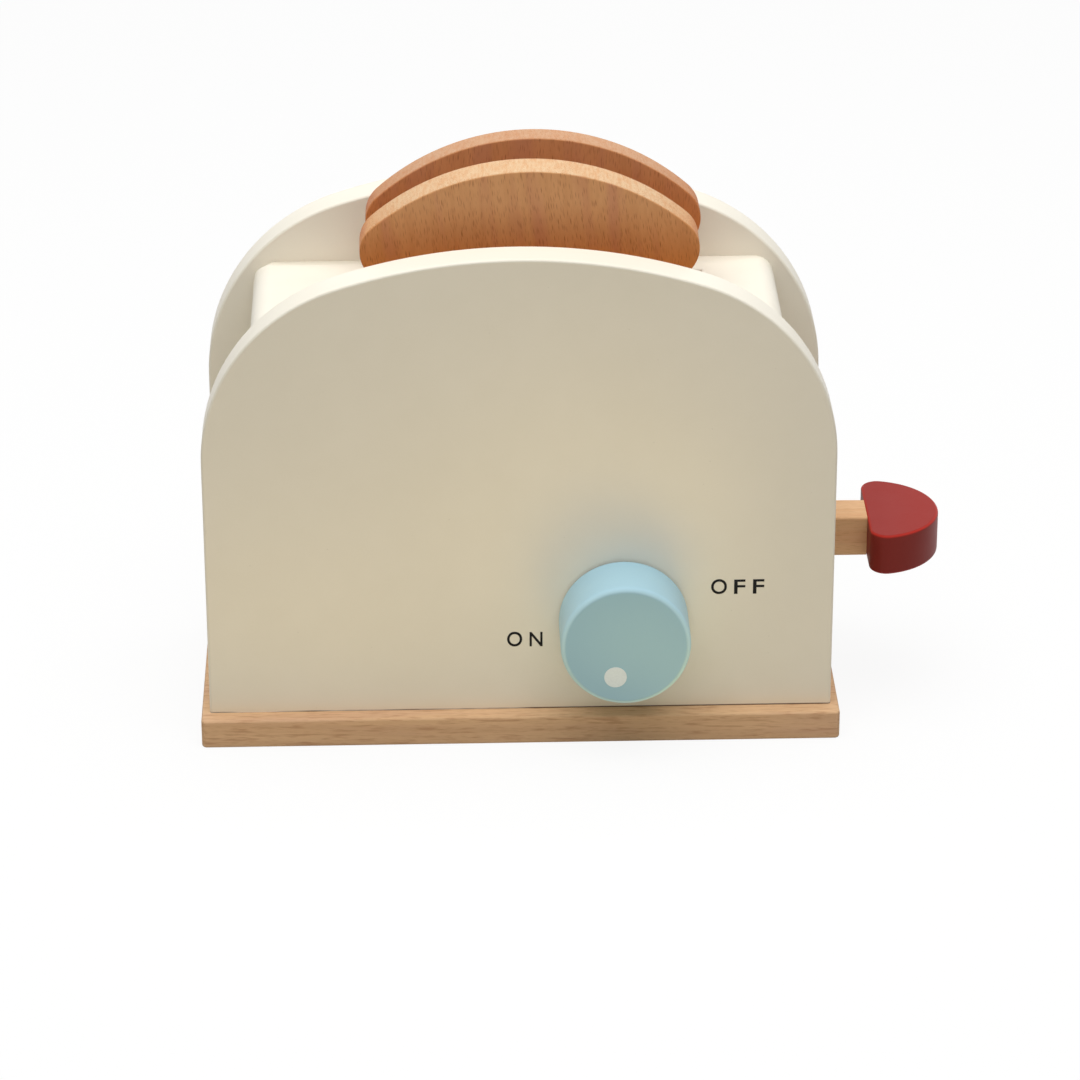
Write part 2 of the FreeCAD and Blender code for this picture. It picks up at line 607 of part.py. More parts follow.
def slice_outline(profile):
    """The outline of a slice of toast, standing on the sketch's origin.

    From the foot up: a straight side, a hollow, a lobe that stands out past the side, and the
    crown. Hollow, lobe and crown are tangent arcs, so three radii and three widths fix them all.
    """
    half, waist = value("bread_width / 2"), value("bread_waist / 2")
    tall, crown = value("bread_height"), value("bread_crown")
    lobe, hollow, foot = (value(n) for n in ("bread_lobe", "bread_hollow", "bread_foot"))
    lobe_x, crown_y = half - lobe, tall - crown
    lobe_y = crown_y + math.sqrt((crown - lobe) ** 2 - lobe_x ** 2)
    hollow_x = waist + hollow
    hollow_y = lobe_y - math.sqrt((lobe + hollow) ** 2 - (hollow_x - lobe_x) ** 2)
    lobe_top = math.degrees(math.atan2(lobe_y - crown_y, lobe_x))
    lobe_low = math.degrees(math.atan2(hollow_y - lobe_y, hollow_x - lobe_x))
    middle = Vector(0, crown_y, 0)
    right_lobe, left_lobe = Vector(lobe_x, lobe_y, 0), Vector(-lobe_x, lobe_y, 0)
    right_hollow, left_hollow = Vector(hollow_x, hollow_y, 0), Vector(-hollow_x, hollow_y, 0)
    right_foot, left_foot = Vector(waist - foot, foot, 0), Vector(foot - waist, foot, 0)
    chain = add_chain(profile, [
        line(Vector(foot - waist, 0, 0), Vector(waist - foot, 0, 0)),
        arc(right_foot, foot, -90, 0),
        line(Vector(waist, foot, 0), Vector(waist, hollow_y, 0)),
        arc(right_hollow, hollow, 180, 180 + lobe_low),
        arc(right_lobe, lobe, lobe_low, lobe_top),
        arc(middle, crown, lobe_top, 180 - lobe_top),
        arc(left_lobe, lobe, 180 - lobe_top, 180 - lobe_low),
        arc(left_hollow, hollow, -lobe_low, 0),
        line(Vector(-waist, hollow_y, 0), Vector(-waist, foot, 0)),
        arc(left_foot, foot, 180, 270),
    ])
    sole, foot_arc, side, dip, bulge, top, bulge_left, dip_left, side_left, foot_left = chain
    for constraint in (
        ("Horizontal", sole),
        ("Symmetric", sole, 1, sole, 2, -1, 1),
        ("Vertical", side),
        ("Vertical", side_left),
        ("Equal", foot_arc, foot_left),
        ("Equal", dip, dip_left),
        ("Equal", bulge, bulge_left),
        ("Symmetric", bulge, 3, bulge_left, 3, -2),
    ):
        profile.addConstraint(Sketcher.Constraint(*constraint))
    dimension(profile, "foot", "Radius", (foot_arc,), "bread_foot")
    dimension(profile, "hollow", "Radius", (dip,), "bread_hollow")
    dimension(profile, "lobe", "Radius", (bulge,), "bread_lobe")
    dimension(profile, "crown", "Radius", (top,), "bread_crown")
    dimension(profile, "waist", "DistanceX", (sole, 1, foot_arc, 3), "bread_waist - 2 * bread_foot")
    dimension(profile, "crown_y", "DistanceY", (-1, 1, top, 3), "bread_height - bread_crown")
    lobes = "bread_width - 2 * bread_lobe"
    dimension(profile, "lobes", "DistanceX", (bulge_left, 3, bulge, 3), lobes)


def make_slice(name, side, shift):
    """side is -1 for the front slice, which leans to the front, and 1 for the back one."""
    body = new_body(name)
    outline = sketch_on(body, f"{name}_outline", "XZ_Plane")
    slice_outline(outline)
    pad(body, outline, "bread_thick", symmetric=True)
    ease(body, "bread_round", lambda edge: span(edge, "y") < 1e-6)
    body.Placement.Rotation = Rotation(Vector(-side, 0, 0), value("bread_lean"))
    bind(body, "Placement.Rotation.Angle", "bread_lean * 1 deg")
    place(body, x=shift, y=f"{side} * ({bread_y})", z=bread_low)


# ---------------------------------------------------------------- guide rods and springs

def make_rod(name, x):
    rod = doc.addObject("Part::Cylinder", name)
    rod.Label = name
    nodes.append(rod)
    bind(rod, "Radius", "rod_diameter / 2")
    bind(rod, "Height", f"{wall_height} + 2 * rod_socket")
    place(rod, x=x, z="base_thick - rod_socket")


def make_spring(name, x):
    """A coil of wire from the base board up to the arm, as it stands when the lever is up.

    Each turn is twelve straight runs of eight-sided wire with mitred corners.
    """
    wire, turns = value("wire_diameter"), int(value("spring_turns"))
    radius = value("rod_diameter / 2 + spring_gap + wire_diameter / 2")
    runs, sides = 12, 8
    rise = value("bar_rest - wire_diameter") / (turns * runs)
    path = []
    for step in range(turns * runs + 1):
        turn = 2 * math.pi * step / runs
        path.append(Vector(radius * math.cos(turn), radius * math.sin(turn), wire / 2 + step * rise))
    along = (path[1] - path[0]).normalize()
    across = along.cross(Vector(1, 0, 0)).normalize()
    outward = across.cross(along).normalize()
    ring = []
    for step in range(sides + 1):
        turn = 2 * math.pi * (step % sides + 0.5) / sides
        reach = wire / 2
        ring.append(path[0] + outward * reach * math.cos(turn) + across * reach * math.sin(turn))
    section = Part.makePolygon(ring)
    mitred = 1
    spring = doc.addObject("Part::Feature", name)
    spring.Label = name
    nodes.append(spring)
    spring.Shape = Part.makePolygon(path).makePipeShell([section], True, False, mitred)
    place(spring, x=x, z="base_thick")


# ---------------------------------------------------------------- knob

def make_knob():
    """Turned about its own Y axis. Its own origin is the middle of its back."""
    body = new_body("knob")
    profile = sketch_on(body, "knob_profile", "XY_Plane")
    radius, thick = value("knob_diameter / 2"), value("knob_thick")
    rim, back = value("knob_round"), value("knob_back_round")
    hub, depth = value("axle_diameter / 2"), value("axle_grip")
    chain = add_chain(profile, [
        line(Vector(0, -depth, 0), Vector(0, -thick, 0)),
        line(Vector(0, -thick, 0), Vector(radius - rim, -thick, 0)),
        arc(Vector(radius - rim, rim - thick, 0), rim, -90, 0),
        line(Vector(radius, rim - thick, 0), Vector(radius, -back, 0)),
        arc(Vector(radius - back, -back, 0), back, 0, 90),
        line(Vector(radius - back, 0, 0), Vector(hub, 0, 0)),
        line(Vector(hub, 0, 0), Vector(hub, -depth, 0)),
        line(Vector(hub, -depth, 0), Vector(0, -depth, 0)),
    ])
    axis, face, front_rim, side, back_rim, rear, bore, bore_end = chain
    for constraint in (
        ("PointOnObject", axis, 1, -2),
        ("Vertical", axis),
        ("Horizontal", face),
        ("Vertical", side),
        ("Horizontal", rear),
        ("PointOnObject", rear, 1, -1),
        ("Vertical", bore),
        ("Horizontal", bore_end),
    ):
        profile.addConstraint(Sketcher.Constraint(*constraint))
    dimension(profile, "front_rim", "Radius", (front_rim,), "knob_round")
    dimension(profile, "back_rim", "Radius", (back_rim,), "knob_back_round")
    dimension(profile, "hub", "DistanceX", (-1, 1, bore, 1), "axle_diameter / 2")
    dimension(profile, "grip", "DistanceY", (bore, 2, bore, 1), "axle_grip")
    dimension(profile, "thick", "DistanceY", (axis, 2, rear, 1), "knob_thick")
    dimension(profile, "half", "DistanceX", (-1, 1, side, 1), "knob_diameter / 2")
    revolve(body, profile, "Y_Axis")
    place(body, x="knob_right", y=knob_back, z="base_thick + knob_up")


def make_washer(name, outer, inner, thick, y):
    """A flat ring round the knob's axis, from y towards the front."""
    body = new_body(name)
    ring = sketch_on(body, f"{name}_ring", "XZ_Plane")
    add_circle(ring, "outer", "0", "0", outer)
    add_circle(ring, "inner", "0", "0", inner)
    pad(body, ring, thick)
    place(body, x="knob_right", y=y, z="base_thick + knob_up")


def make_knob_screw():
    """Pan head inside the toaster, plain shank through washer and panel into the knob."""
    body = new_body("knob_screw")
    profile = sketch_on(body, "knob_screw_profile", "XY_Plane")
    shank, head = value("axle_diameter / 2"), value("axle_head / 2")
    thick = value("axle_head_thick")
    reach = "washer_thick + panel_thick + spacer_thick + 2 * turn_gap + axle_grip"
    tip = -value(reach)
    dome = thick / 2
    chain = add_chain(profile, [
        line(Vector(0, thick, 0), Vector(0, tip, 0)),
        line(Vector(0, tip, 0), Vector(shank, tip, 0)),
        line(Vector(shank, tip, 0), Vector(shank, 0, 0)),
        line(Vector(shank, 0, 0), Vector(head, 0, 0)),
        line(Vector(head, 0, 0), Vector(head, thick - dome, 0)),
        arc(Vector(head - dome, thick - dome, 0), dome, 0, 90),
        line(Vector(head - dome, thick, 0), Vector(0, thick, 0)),
    ])
    axis, end, side, seat, rim, shoulder, top = chain
    for constraint in (
        ("PointOnObject", axis, 1, -2),
        ("Vertical", axis),
        ("Horizontal", end),
        ("Vertical", side),
        ("Horizontal", seat),
        ("PointOnObject", seat, 1, -1),
        ("Vertical", rim),
        ("Horizontal", top),
    ):
        profile.addConstraint(Sketcher.Constraint(*constraint))
    dimension(profile, "shank", "DistanceX", (-1, 1, side, 1), "axle_diameter / 2")
    dimension(profile, "reach", "DistanceY", (axis, 2, seat, 1), reach)
    dimension(profile, "head", "DistanceX", (-1, 1, rim, 1), "axle_head / 2")
    dimension(profile, "thick", "DistanceY", (seat, 1, axis, 1), "axle_head_thick")
    dimension(profile, "dome", "Radius", (shoulder,), "axle_head_thick / 2")
    revolve(body, profile, "Y_Axis")
    y = "-inner_depth / 2 + washer_thick + turn_gap"
    place(body, x="knob_right", y=y, z="base_thick + knob_up")


# ---------------------------------------------------------------- screws and dowels

def wood_screw(length):
    """A countersunk screw that stands on its head, point up, with a plain shank."""
    shank, head, sink = value("screw_diameter / 2"), value("screw_head / 2"), value(screw_sink)
    point = 1.5 * shank
    profile = Part.makePolygon([
        Vector(0, 0, 0), Vector(head, 0, 0), Vector(shank, 0, sink),
        Vector(shank, 0, length - point), Vector(0, 0, length), Vector(0, 0, 0),
    ])
    return Part.Face(profile).revolve(Vector(0, 0, 0), Vector(0, 0, 1), 360)


def make_group(name, shapes):
    """Identical loose pieces that share one node, each its own solid."""
    group = doc.addObject("Part::Feature", name)
    group.Label = name
    nodes.append(group)
    group.Shape = Part.Compound(shapes)
    return group


def copies(shape, places, rotation=Rotation()):
    """The shape, turned and set at each place given by three expressions."""
    made = []
    for place_at in places:
        copy = shape.copy()
        copy.Placement = Placement(Vector(*(value(e) for e in place_at)), rotation)
        made.append(copy)
    return made


def make_base_screws():
    places = []
    for side in (-1, 1):
        places += [(x, f"{side} * {panel_middle}", "0") for x, _ in panel_screws]
        places += [(f"{side} * {wall_middle}", y, "0") for _, y in wall_screws]
    make_group("base_screws", copies(wood_screw(value("base_thick + base_grip")), places))


def make_rest_screws():
    places = [(x, "0", "0") for x in (rest_left_x, rest_right_x)]
    screws = make_group("rest_screws", copies(wood_screw(value("bar_size + rest_grip")), places))
    place(screws, z=bar_low)


def make_joint_dowels():
    """One dowel for each bore of the two panels, lying along Y across the joint."""
    dowel = Part.makeCylinder(value("dowel_diameter / 2"), value("dowel_in_panel + dowel_in_board"))
    places = {side: [] for side in (-1, 1)}
    for side in (-1, 1):
        start = f"{side} * (inner_depth / 2 + dowel_in_panel)"
        for x, level in wall_dowels + top_dowels:
            places[side].append((x, start, level))
    to_back, to_front = Rotation(Vector(1, 0, 0), -90), Rotation(Vector(1, 0, 0), 90)
    dowels = copies(dowel, places[-1], to_back) + copies(dowel, places[1], to_front)
    place(make_group("joint_dowels", dowels), z="base_thick")


def make_handle_dowel():
    dowel = doc.addObject("Part::Cylinder", "handle_dowel")
    dowel.Label = "handle_dowel"
    nodes.append(dowel)
    bind(dowel, "Radius", "dowel_diameter / 2")
    bind(dowel, "Height", "2 * handle_dowel_half")
    dowel.Placement.Rotation = Rotation(Vector(0, 1, 0), 90)
    place(dowel, x="bar_right - handle_dowel_half", z=f"{bar_low} + bar_size / 2")


# ---------------------------------------------------------------- build, check, write

make_base_board()
make_panel("front_panel", -1)
make_panel("back_panel", 1)
make_top_board()
make_wall("left_wall", -1)
make_wall("right_wall", 1)
make_lever_arm()
make_lever_handle()
make_rest("rest_left", rest_left_x)
make_rest("rest_right", rest_right_x)
make_slice("bread_slice_front", -1, "front_shift")
make_slice("bread_slice_back", 1, "back_shift")
for where, rod_x in arm_rods:
    make_rod(f"guide_rod_{where}", rod_x)
    make_spring(f"return_spring_{where}", rod_x)
make_knob()
make_washer("knob_spacer", "spacer_diameter / 2", "axle_diameter / 2 + axle_gap",
            "spacer_thick", f"-({panel_face})")
make_washer("knob_washer", "washer_diameter / 2", "axle_diameter / 2 + axle_gap",
            "washer_thick", "-inner_depth / 2 + washer_thick")
make_knob_screw()
make_base_screws()
make_rest_screws()
make_joint_dowels()
make_handle_dowel()
doc.recompute()

for thing in doc.Objects:
    if "Invalid" in thing.State or "Error" in thing.State:
        raise RuntimeError(f"{thing.Name} failed: {thing.State}")
for thing in doc.Objects:
    if thing.isDerivedFrom("Sketcher::SketchObject") and not thing.FullyConstrained:
        raise RuntimeError(f"{thing.Name} isn't fully constrained")
for node in nodes:
    if node.Shape.isNull() or not node.Shape.isValid() or not node.Shape.Solids:
        raise RuntimeError(f"{node.Label} has no valid solid")

os.makedirs("parts", exist_ok=True)
for node in nodes:
    node.Shape.exportStep(f"parts/{node.Label}.step")
    print(f"{node.Label}: {len(node.Shape.Solids)} solid, {node.Shape.Volume:.0f} mm3")
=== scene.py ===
# %% [markdown]
# # A wooden toy toaster
#
# The toaster already exists as exact solids: boards, slices, lever, knob, springs and screws, each
# in its place. This file is the second half of the work. It gives every piece that can be seen a
# finer mesh, with rims that catch the light, and every piece a finish built from shader nodes.
#
# The solids are loaded as a fixed frame. Nothing in this file moves them: a new piece is drawn where
# its solid stands, hides that solid, and rides on the same moving body.

import math

import bmesh
import bpy
from mathutils import Matrix, Vector


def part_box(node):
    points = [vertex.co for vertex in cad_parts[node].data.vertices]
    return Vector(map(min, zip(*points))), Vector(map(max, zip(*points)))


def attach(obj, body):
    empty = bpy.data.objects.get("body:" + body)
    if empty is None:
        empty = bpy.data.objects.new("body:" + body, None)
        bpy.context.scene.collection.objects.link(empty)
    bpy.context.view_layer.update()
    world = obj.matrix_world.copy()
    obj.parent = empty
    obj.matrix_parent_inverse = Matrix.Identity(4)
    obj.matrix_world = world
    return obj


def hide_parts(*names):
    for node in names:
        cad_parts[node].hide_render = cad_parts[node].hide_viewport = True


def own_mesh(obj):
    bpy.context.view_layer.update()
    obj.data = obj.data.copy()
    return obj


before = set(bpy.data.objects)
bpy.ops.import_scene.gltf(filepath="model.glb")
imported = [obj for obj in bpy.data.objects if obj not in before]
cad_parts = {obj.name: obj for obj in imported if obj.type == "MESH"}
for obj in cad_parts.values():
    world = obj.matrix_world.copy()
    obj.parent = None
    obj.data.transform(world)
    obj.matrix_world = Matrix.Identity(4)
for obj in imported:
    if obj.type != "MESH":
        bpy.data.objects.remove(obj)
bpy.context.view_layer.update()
scene = bpy.context.scene
print("pieces in the frame:", len(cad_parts))

# %% [markdown]
# ## Millimetres
#
# Blender counts in metres, and a toy is easier to think about in millimetres. Every mesh below is
# drawn in millimetres and shrunk once, as it becomes an object. The box of a solid can be turned into
# millimetres too; the base board's box is printed here and later sets the window in the floor.

# %% Sizes in millimetres
mm = 0.001


def solid_box(node):
    """Lowest and highest corner of a solid, in millimetres."""
    low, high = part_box(node)
    return low / mm, high / mm


base_low, base_high = solid_box("base_board")
print("base board:", [round(v, 1) for v in base_high - base_low])

# %% [markdown]
# ## The camera
#
# A long lens a good metre away keeps the arch of the two panels almost free of perspective, so their
# true shape is easy to judge. The camera is placed by the point it looks at, its distance and three
# angles, which say more to a reader than a position would. Multiplying the turns from left to right
# reads as: swing round the upright axis, tip down, then roll about the line of sight.

# %% Camera
look_at = Vector((6.915, 0.0, 46.179)) * mm
camera_distance = 1375.09 * mm
camera_height_angle = math.radians(25.9125)
camera_swing = math.radians(-1.6229)
camera_roll = math.radians(-0.1214)

camera_data = bpy.data.cameras.new("camera")
camera_data.sensor_width = 36
camera_data.lens = 151.713
camera_data.clip_start = 0.05
camera_data.clip_end = 30
camera = bpy.data.objects.new("camera", camera_data)
scene.collection.objects.link(camera)
aim = (
    Matrix.Rotation(camera_swing, 4, "Z")
    @ Matrix.Rotation(math.pi / 2 - camera_height_angle, 4, "X")
    @ Matrix.Rotation(camera_roll, 4, "Z")
)
camera.matrix_world = Matrix.Translation(look_at) @ aim @ Matrix.Translation((0, 0, camera_distance))
scene.camera = camera
print("camera stands at", [round(v, 3) for v in camera.matrix_world.translation])

# %% [markdown]
# ## A small kit for shader nodes
#
# Materials are graphs, and a graph is easier to follow in code when adding a node and setting it up
# is one line. `add_node` makes the node, sets its options and the values of its unlinked sockets, and
# returns it. Links are made one by one, from output to input, as they would be with the mouse. The
# other helpers are the small combinations that most finishes need: a sum of masks, a tint laid over a
# colour, the angle between two directions, and dots scattered at random.

# %% Helpers for node trees


def add_node(tree, kind, options=None, **values):
    """A new node; options are its settings, values go to its input sockets by name."""
    made = tree.nodes.new(kind)
    for name, option in (options or {}).items():
        setattr(made, name, option)
    for name, value in values.items():
        made.inputs[name.replace("_", " ")].default_value = value
    return made


def new_group(name, inputs, outputs):
    """An empty node group with named sockets, each given as (kind, name, default)."""
    tree = bpy.data.node_groups.new(name, "ShaderNodeTree")
    for kind, label, default in inputs:
        socket = tree.interface.new_socket(label, in_out="INPUT", socket_type=f"NodeSocket{kind}")
        if default is not None:
            socket.default_value = default
    for kind, label in outputs:
        tree.interface.new_socket(label, in_out="OUTPUT", socket_type=f"NodeSocket{kind}")
    start = tree.nodes.new("NodeGroupInput")
    end = tree.nodes.new("NodeGroupOutput")
    return tree, start, end


def do_math(tree, operation, first, second=None, clamp=False):
    """A Math node on links or plain numbers."""
    made = add_node(tree, "ShaderNodeMath", {"operation": operation, "use_clamp": clamp})
    for socket, source in zip(made.inputs, (first, second)):
        if source is None:
            continue
        if isinstance(source, (int, float)):
            socket.default_value = source
        else:
            tree.links.new(source, socket)
    return made.outputs[0]


def mixture(tree, *parts, start=None, clamp=False):
    """Adds up masks, each given as (mask, share); clamp holds the last sum between 0 and 1."""
    total = start
    for number, (mask, share) in enumerate(parts, start=1):
        term = do_math(tree, "MULTIPLY", mask, share)
        last = number == len(parts)
        total = term if total is None else do_math(tree, "ADD", total, term, clamp and last)
    return total


def blend_colours(tree, factor, first, second, mode="MIX"):
    """A colour Mix node; a colour may be a link or a tuple of three numbers."""
    made = add_node(tree, "ShaderNodeMix", {"data_type": "RGBA", "blend_type": mode})
    colour_sockets = (made.inputs[place] for place in (0, 6, 7))
    for socket, source in zip(colour_sockets, (factor, first, second)):
        if isinstance(source, (int, float)):
            socket.default_value = source
        elif isinstance(source, tuple):
            socket.default_value = (*source, 1)
        else:
            tree.links.new(source, socket)
    return made.outputs[2]


def tint(tree, colour, mask, amount, new_colour):
    """Lays a colour over another where a mask says so, as strongly as the amount says."""
    return blend_colours(tree, do_math(tree, "MULTIPLY", mask, amount), colour, new_colour)


def agreement(tree, direction, axis):
    """How far a direction points along an axis: 1 along it, 0 across it, -1 against it."""
    made = add_node(tree, "ShaderNodeVectorMath", {"operation": "DOT_PRODUCT"})
    tree.links.new(direction, made.inputs[0])
    if isinstance(axis, tuple):
        made.inputs[1].default_value = axis
    else:
        tree.links.new(axis, made.inputs[1])
    return made.outputs["Value"]


def stretch(tree, vector, scale, move=(0, 0, 0)):
    """The same coordinates, stretched: small numbers make long features along that axis."""
    made = add_node(tree, "ShaderNodeMapping", Scale=scale, Location=move)
    tree.links.new(vector, made.inputs["Vector"])
    return made.outputs["Vector"]


def noise(tree, vector, scale=1.0, detail=2.0, roughness=0.5):
    """Noise as a number that mostly stays between 0.3 and 0.7."""
    made = add_node(tree, "ShaderNodeTexNoise", Scale=scale, Detail=detail, Roughness=roughness)
    tree.links.new(vector, made.inputs["Vector"])
    return made.outputs["Fac"]


def spread(tree, value, low, high, new_low=0.0, new_high=1.0):
    """Maps a number from one range to another and clamps it there."""
    made = add_node(tree, "ShaderNodeMapRange", {"clamp": True})
    for place, number in enumerate((low, high, new_low, new_high), start=1):
        made.inputs[place].default_value = number
    tree.links.new(value, made.inputs[0])
    return made.outputs[0]


def scattered(tree, place, scale, thin, thick, channel, least, most):
    """Random dots, one in each Voronoi cell; least and most keep only the cells of some colours."""
    cells = add_node(tree, "ShaderNodeTexVoronoi", {"feature": "F1"}, Scale=scale, Randomness=1.0)
    tree.links.new(place, cells.inputs["Vector"])
    core = spread(tree, cells.outputs["Distance"], thin, thick, 1.0, 0.0)
    pick = add_node(tree, "ShaderNodeSeparateColor")
    tree.links.new(cells.outputs["Color"], pick.inputs[0])
    return do_math(tree, "MULTIPLY", core, spread(tree, pick.outputs[channel], least, most))


# %% [markdown]
# ## Floor and light
#
# The toy stands on a white sweep under one large soft light, so its shadows have no edges. The floor
# does two jobs that fight each other: it should look pure white, and the light that it throws up on
# the toy's sides should be softer and warmer than the light from above, or the toy looks flat. The
# Light Path node tells the two apart. Rays from the camera, or from a reflection, find a floor that
# is nearly all glow; every other ray finds a dull, warm table top. A little of the matt part stays in
# what is seen, so that the toy still has its soft contact shadow. From below the floor is clear, with
# a window under the base board, so that the underside can be looked at.

# %% White floor
floor_glow_share = 0.90
floor_tone = (0.94, 0.94, 0.935)
table_tone = (0.49, 0.445, 0.365)


def seen_directly(tree):
    """One for rays from the camera, from a reflection or through glass, nothing for the rest."""
    rays = add_node(tree, "ShaderNodeLightPath")
    seen = do_math(tree, "MAXIMUM", rays.outputs["Is Camera Ray"], rays.outputs["Is Glossy Ray"])
    return do_math(tree, "MAXIMUM", seen, rays.outputs["Is Transmission Ray"])


def mix_shaders(tree, factor, first, second):
    """A Mix Shader node on three links."""
    made = add_node(tree, "ShaderNodeMixShader")
    for socket, source in zip(made.inputs, (factor, first, second)):
        tree.links.new(source, socket)
    return made.outputs[0]


floor_white = bpy.data.materials.new("white_sweep")
floor_white.use_nodes = True
tree = floor_white.node_tree
tree.nodes.clear()
seen = seen_directly(tree)
floor_matt = add_node(tree, "ShaderNodeBsdfDiffuse")
tree.links.new(blend_colours(tree, seen, table_tone, floor_tone), floor_matt.inputs["Color"])
floor_glow = add_node(tree, "ShaderNodeEmission", Color=(1, 1, 1, 1), Strength=1.0)
glow_share = do_math(tree, "MULTIPLY", seen, floor_glow_share)
from_above = mix_shaders(tree, glow_share, floor_matt.outputs[0], floor_glow.outputs[0])
from_below = add_node(tree, "ShaderNodeBsdfTransparent").outputs[0]
below = add_node(tree, "ShaderNodeNewGeometry").outputs["Backfacing"]
floor_out = add_node(tree, "ShaderNodeOutputMaterial")
tree.links.new(mix_shaders(tree, below, from_above, from_below), floor_out.inputs["Surface"])

# %% [markdown]
# The sweep is one flat grid of three by three faces. The corners of the middle face are moved to just
# inside the base board's footprint, and that face is deleted.

# %% Sweep with a window
sweep_half, window_inset = 6.0, 2.0
sweep = bmesh.new()
bmesh.ops.create_grid(sweep, x_segments=3, y_segments=3, size=sweep_half)
inner = [corner for corner in sweep.verts if max(abs(corner.co.x), abs(corner.co.y)) < sweep_half / 2]
for corner in inner:
    corner.co.x = math.copysign((base_high.x - window_inset) * mm, corner.co.x)
    corner.co.y = math.copysign((base_high.y - window_inset) * mm, corner.co.y)
window = [face for face in sweep.faces if all(corner in inner for corner in face.verts)]
bmesh.ops.delete(sweep, geom=window, context="FACES")
floor_mesh = bpy.data.meshes.new("floor")
sweep.to_mesh(floor_mesh)
sweep.free()
floor_mesh.materials.append(floor_white)
floor = bpy.data.objects.new("floor", floor_mesh)
scene.collection.objects.link(floor)

# %% [markdown]
# The world is white where the camera or a reflection looks at it, so the satin paint mirrors a bright
# studio. For everything else it is a weak even fill. The lamps are area lights. A large one overhead
# does most of the work. Three small warm ones lie just in front of the toy and face up, as if something
# pale yellow lay there in the light. Two warm the lower front. The third is weak, lies just below the
# knob and shines only up past it, which draws a soft cool shade above the knob.

# %% World and lamps
world_fill_strength = 0.30
world = bpy.data.worlds.new("studio")
scene.world = world
world.use_nodes = True
tree = world.node_tree
tree.nodes.clear()
fill_light, white = (
    add_node(tree, "ShaderNodeBackground", Color=(1, 1, 1, 1), Strength=strength).outputs[0]
    for strength in (world_fill_strength, 1.0)
)
world_out = add_node(tree, "ShaderNodeOutputWorld")
tree.links.new(mix_shaders(tree, seen_directly(tree), fill_light, white), world_out.inputs["Surface"])


def soft_lamp(name, wide, deep, power, place, towards, colour=(1, 1, 1)):
    """An area light at a place in metres that faces a point."""
    lamp_data = bpy.data.lights.new(name, "AREA")
    lamp_data.shape = "RECTANGLE"
    lamp_data.size = wide
    lamp_data.size_y = deep
    lamp_data.energy = power
    lamp_data.color = colour
    lamp = bpy.data.objects.new(name, lamp_data)
    scene.collection.objects.link(lamp)
    away = Vector(place) - Vector(towards)
    lamp.matrix_world = Matrix.Translation(place) @ away.to_track_quat("Z", "Y").to_matrix().to_4x4()
    lamp.visible_camera = False
    lamp.visible_glossy = False
    return lamp


warm = (1.0, 0.74, 0.24)
knob_lamp_spread = math.radians(75)
lamps = [
    soft_lamp("overhead", 1.2, 1.2, 14.0, (0.0, -0.1, 1.15), (0.0, 0.0, 0.0)),
    soft_lamp("warm_left", 0.13, 0.07, 0.026, (-0.062, -0.118, 0.006), (-0.062, -0.10, 0.2), warm),
    soft_lamp("warm_right", 0.08, 0.06, 0.010, (0.060, -0.110, 0.006), (0.060, -0.09, 0.2), warm),
    soft_lamp("under_knob", 0.05, 0.03, 0.0035, (0.042, -0.088, 0.006), (0.018, -0.038, 0.105), warm),
]
lamps[-1].data.spread = knob_lamp_spread
print("lamps:", [lamp.data.energy for lamp in lamps], "W")

# %% [markdown]
# ## Solid beech
#
# Beech is known by three things: a pale pinkish tan, faint rings, and countless short brown dashes,
# its rays, all lying along the grain. A picture wrapped round a board would break at every edge. A
# pattern in solid space doesn't: faces, rims and end grain all cut through the same block, as they do
# in real timber. So the group below works on Object coordinates in millimetres, with the grain along
# its own X axis, and each material turns and shifts that block with a Mapping node.
#
# Rings are a Wave texture in its ring form, bent by noise that is stretched along the grain. The
# dashes are cells of a Voronoi texture squeezed across the grain: near a cell's centre the distance
# is small, so a threshold leaves a spindle, and a second threshold on the cell's random colour keeps
# only some of them. Short ones and long ones are two such textures. Steamed beech also blushes: broad
# soft bands along the grain are pinker than the rest. Where the grain meets the surface end-on, wood
# has a tone of its own with fine streaks and no bands, which is a matter of how far the normal points
# along the grain.

# %% Node group: solid beech
beech_tree, beech_in, beech_out = new_group(
    "solid_beech",
    [
        ("Vector", "Grain Coordinate", None),
        ("Vector", "Normal", None),
        ("Vector", "Grain Axis", (1, 0, 0)),
        ("Color", "Pale", (0.7, 0.45, 0.25, 1)),
        ("Color", "Dark", (0.5, 0.27, 0.12, 1)),
        ("Color", "Blush", (0.6, 0.32, 0.2, 1)),
        ("Color", "Dash", (0.3, 0.12, 0.05, 1)),
        ("Color", "End Grain", (0.75, 0.55, 0.35, 1)),
        ("Float", "Ring Contrast", 0.4),
        ("Float", "Dash Amount", 0.5),
        ("Float", "Fleck Amount", 0.2),
    ],
    [("Color", "Color"), ("Float", "Roughness"), ("Float", "Height")],
)
tree = beech_tree
grain = beech_in.outputs["Grain Coordinate"]

ring_place = stretch(tree, grain, (0.10, 1.0, 1.0))
rings = add_node(
    tree,
    "ShaderNodeTexWave",
    {"wave_type": "RINGS", "rings_direction": "X", "wave_profile": "SIN"},
    Scale=0.07,
    Distortion=7.0,
    Detail=3.0,
    Detail_Scale=0.30,
    Detail_Roughness=0.6,
)
tree.links.new(ring_place, rings.inputs["Vector"])

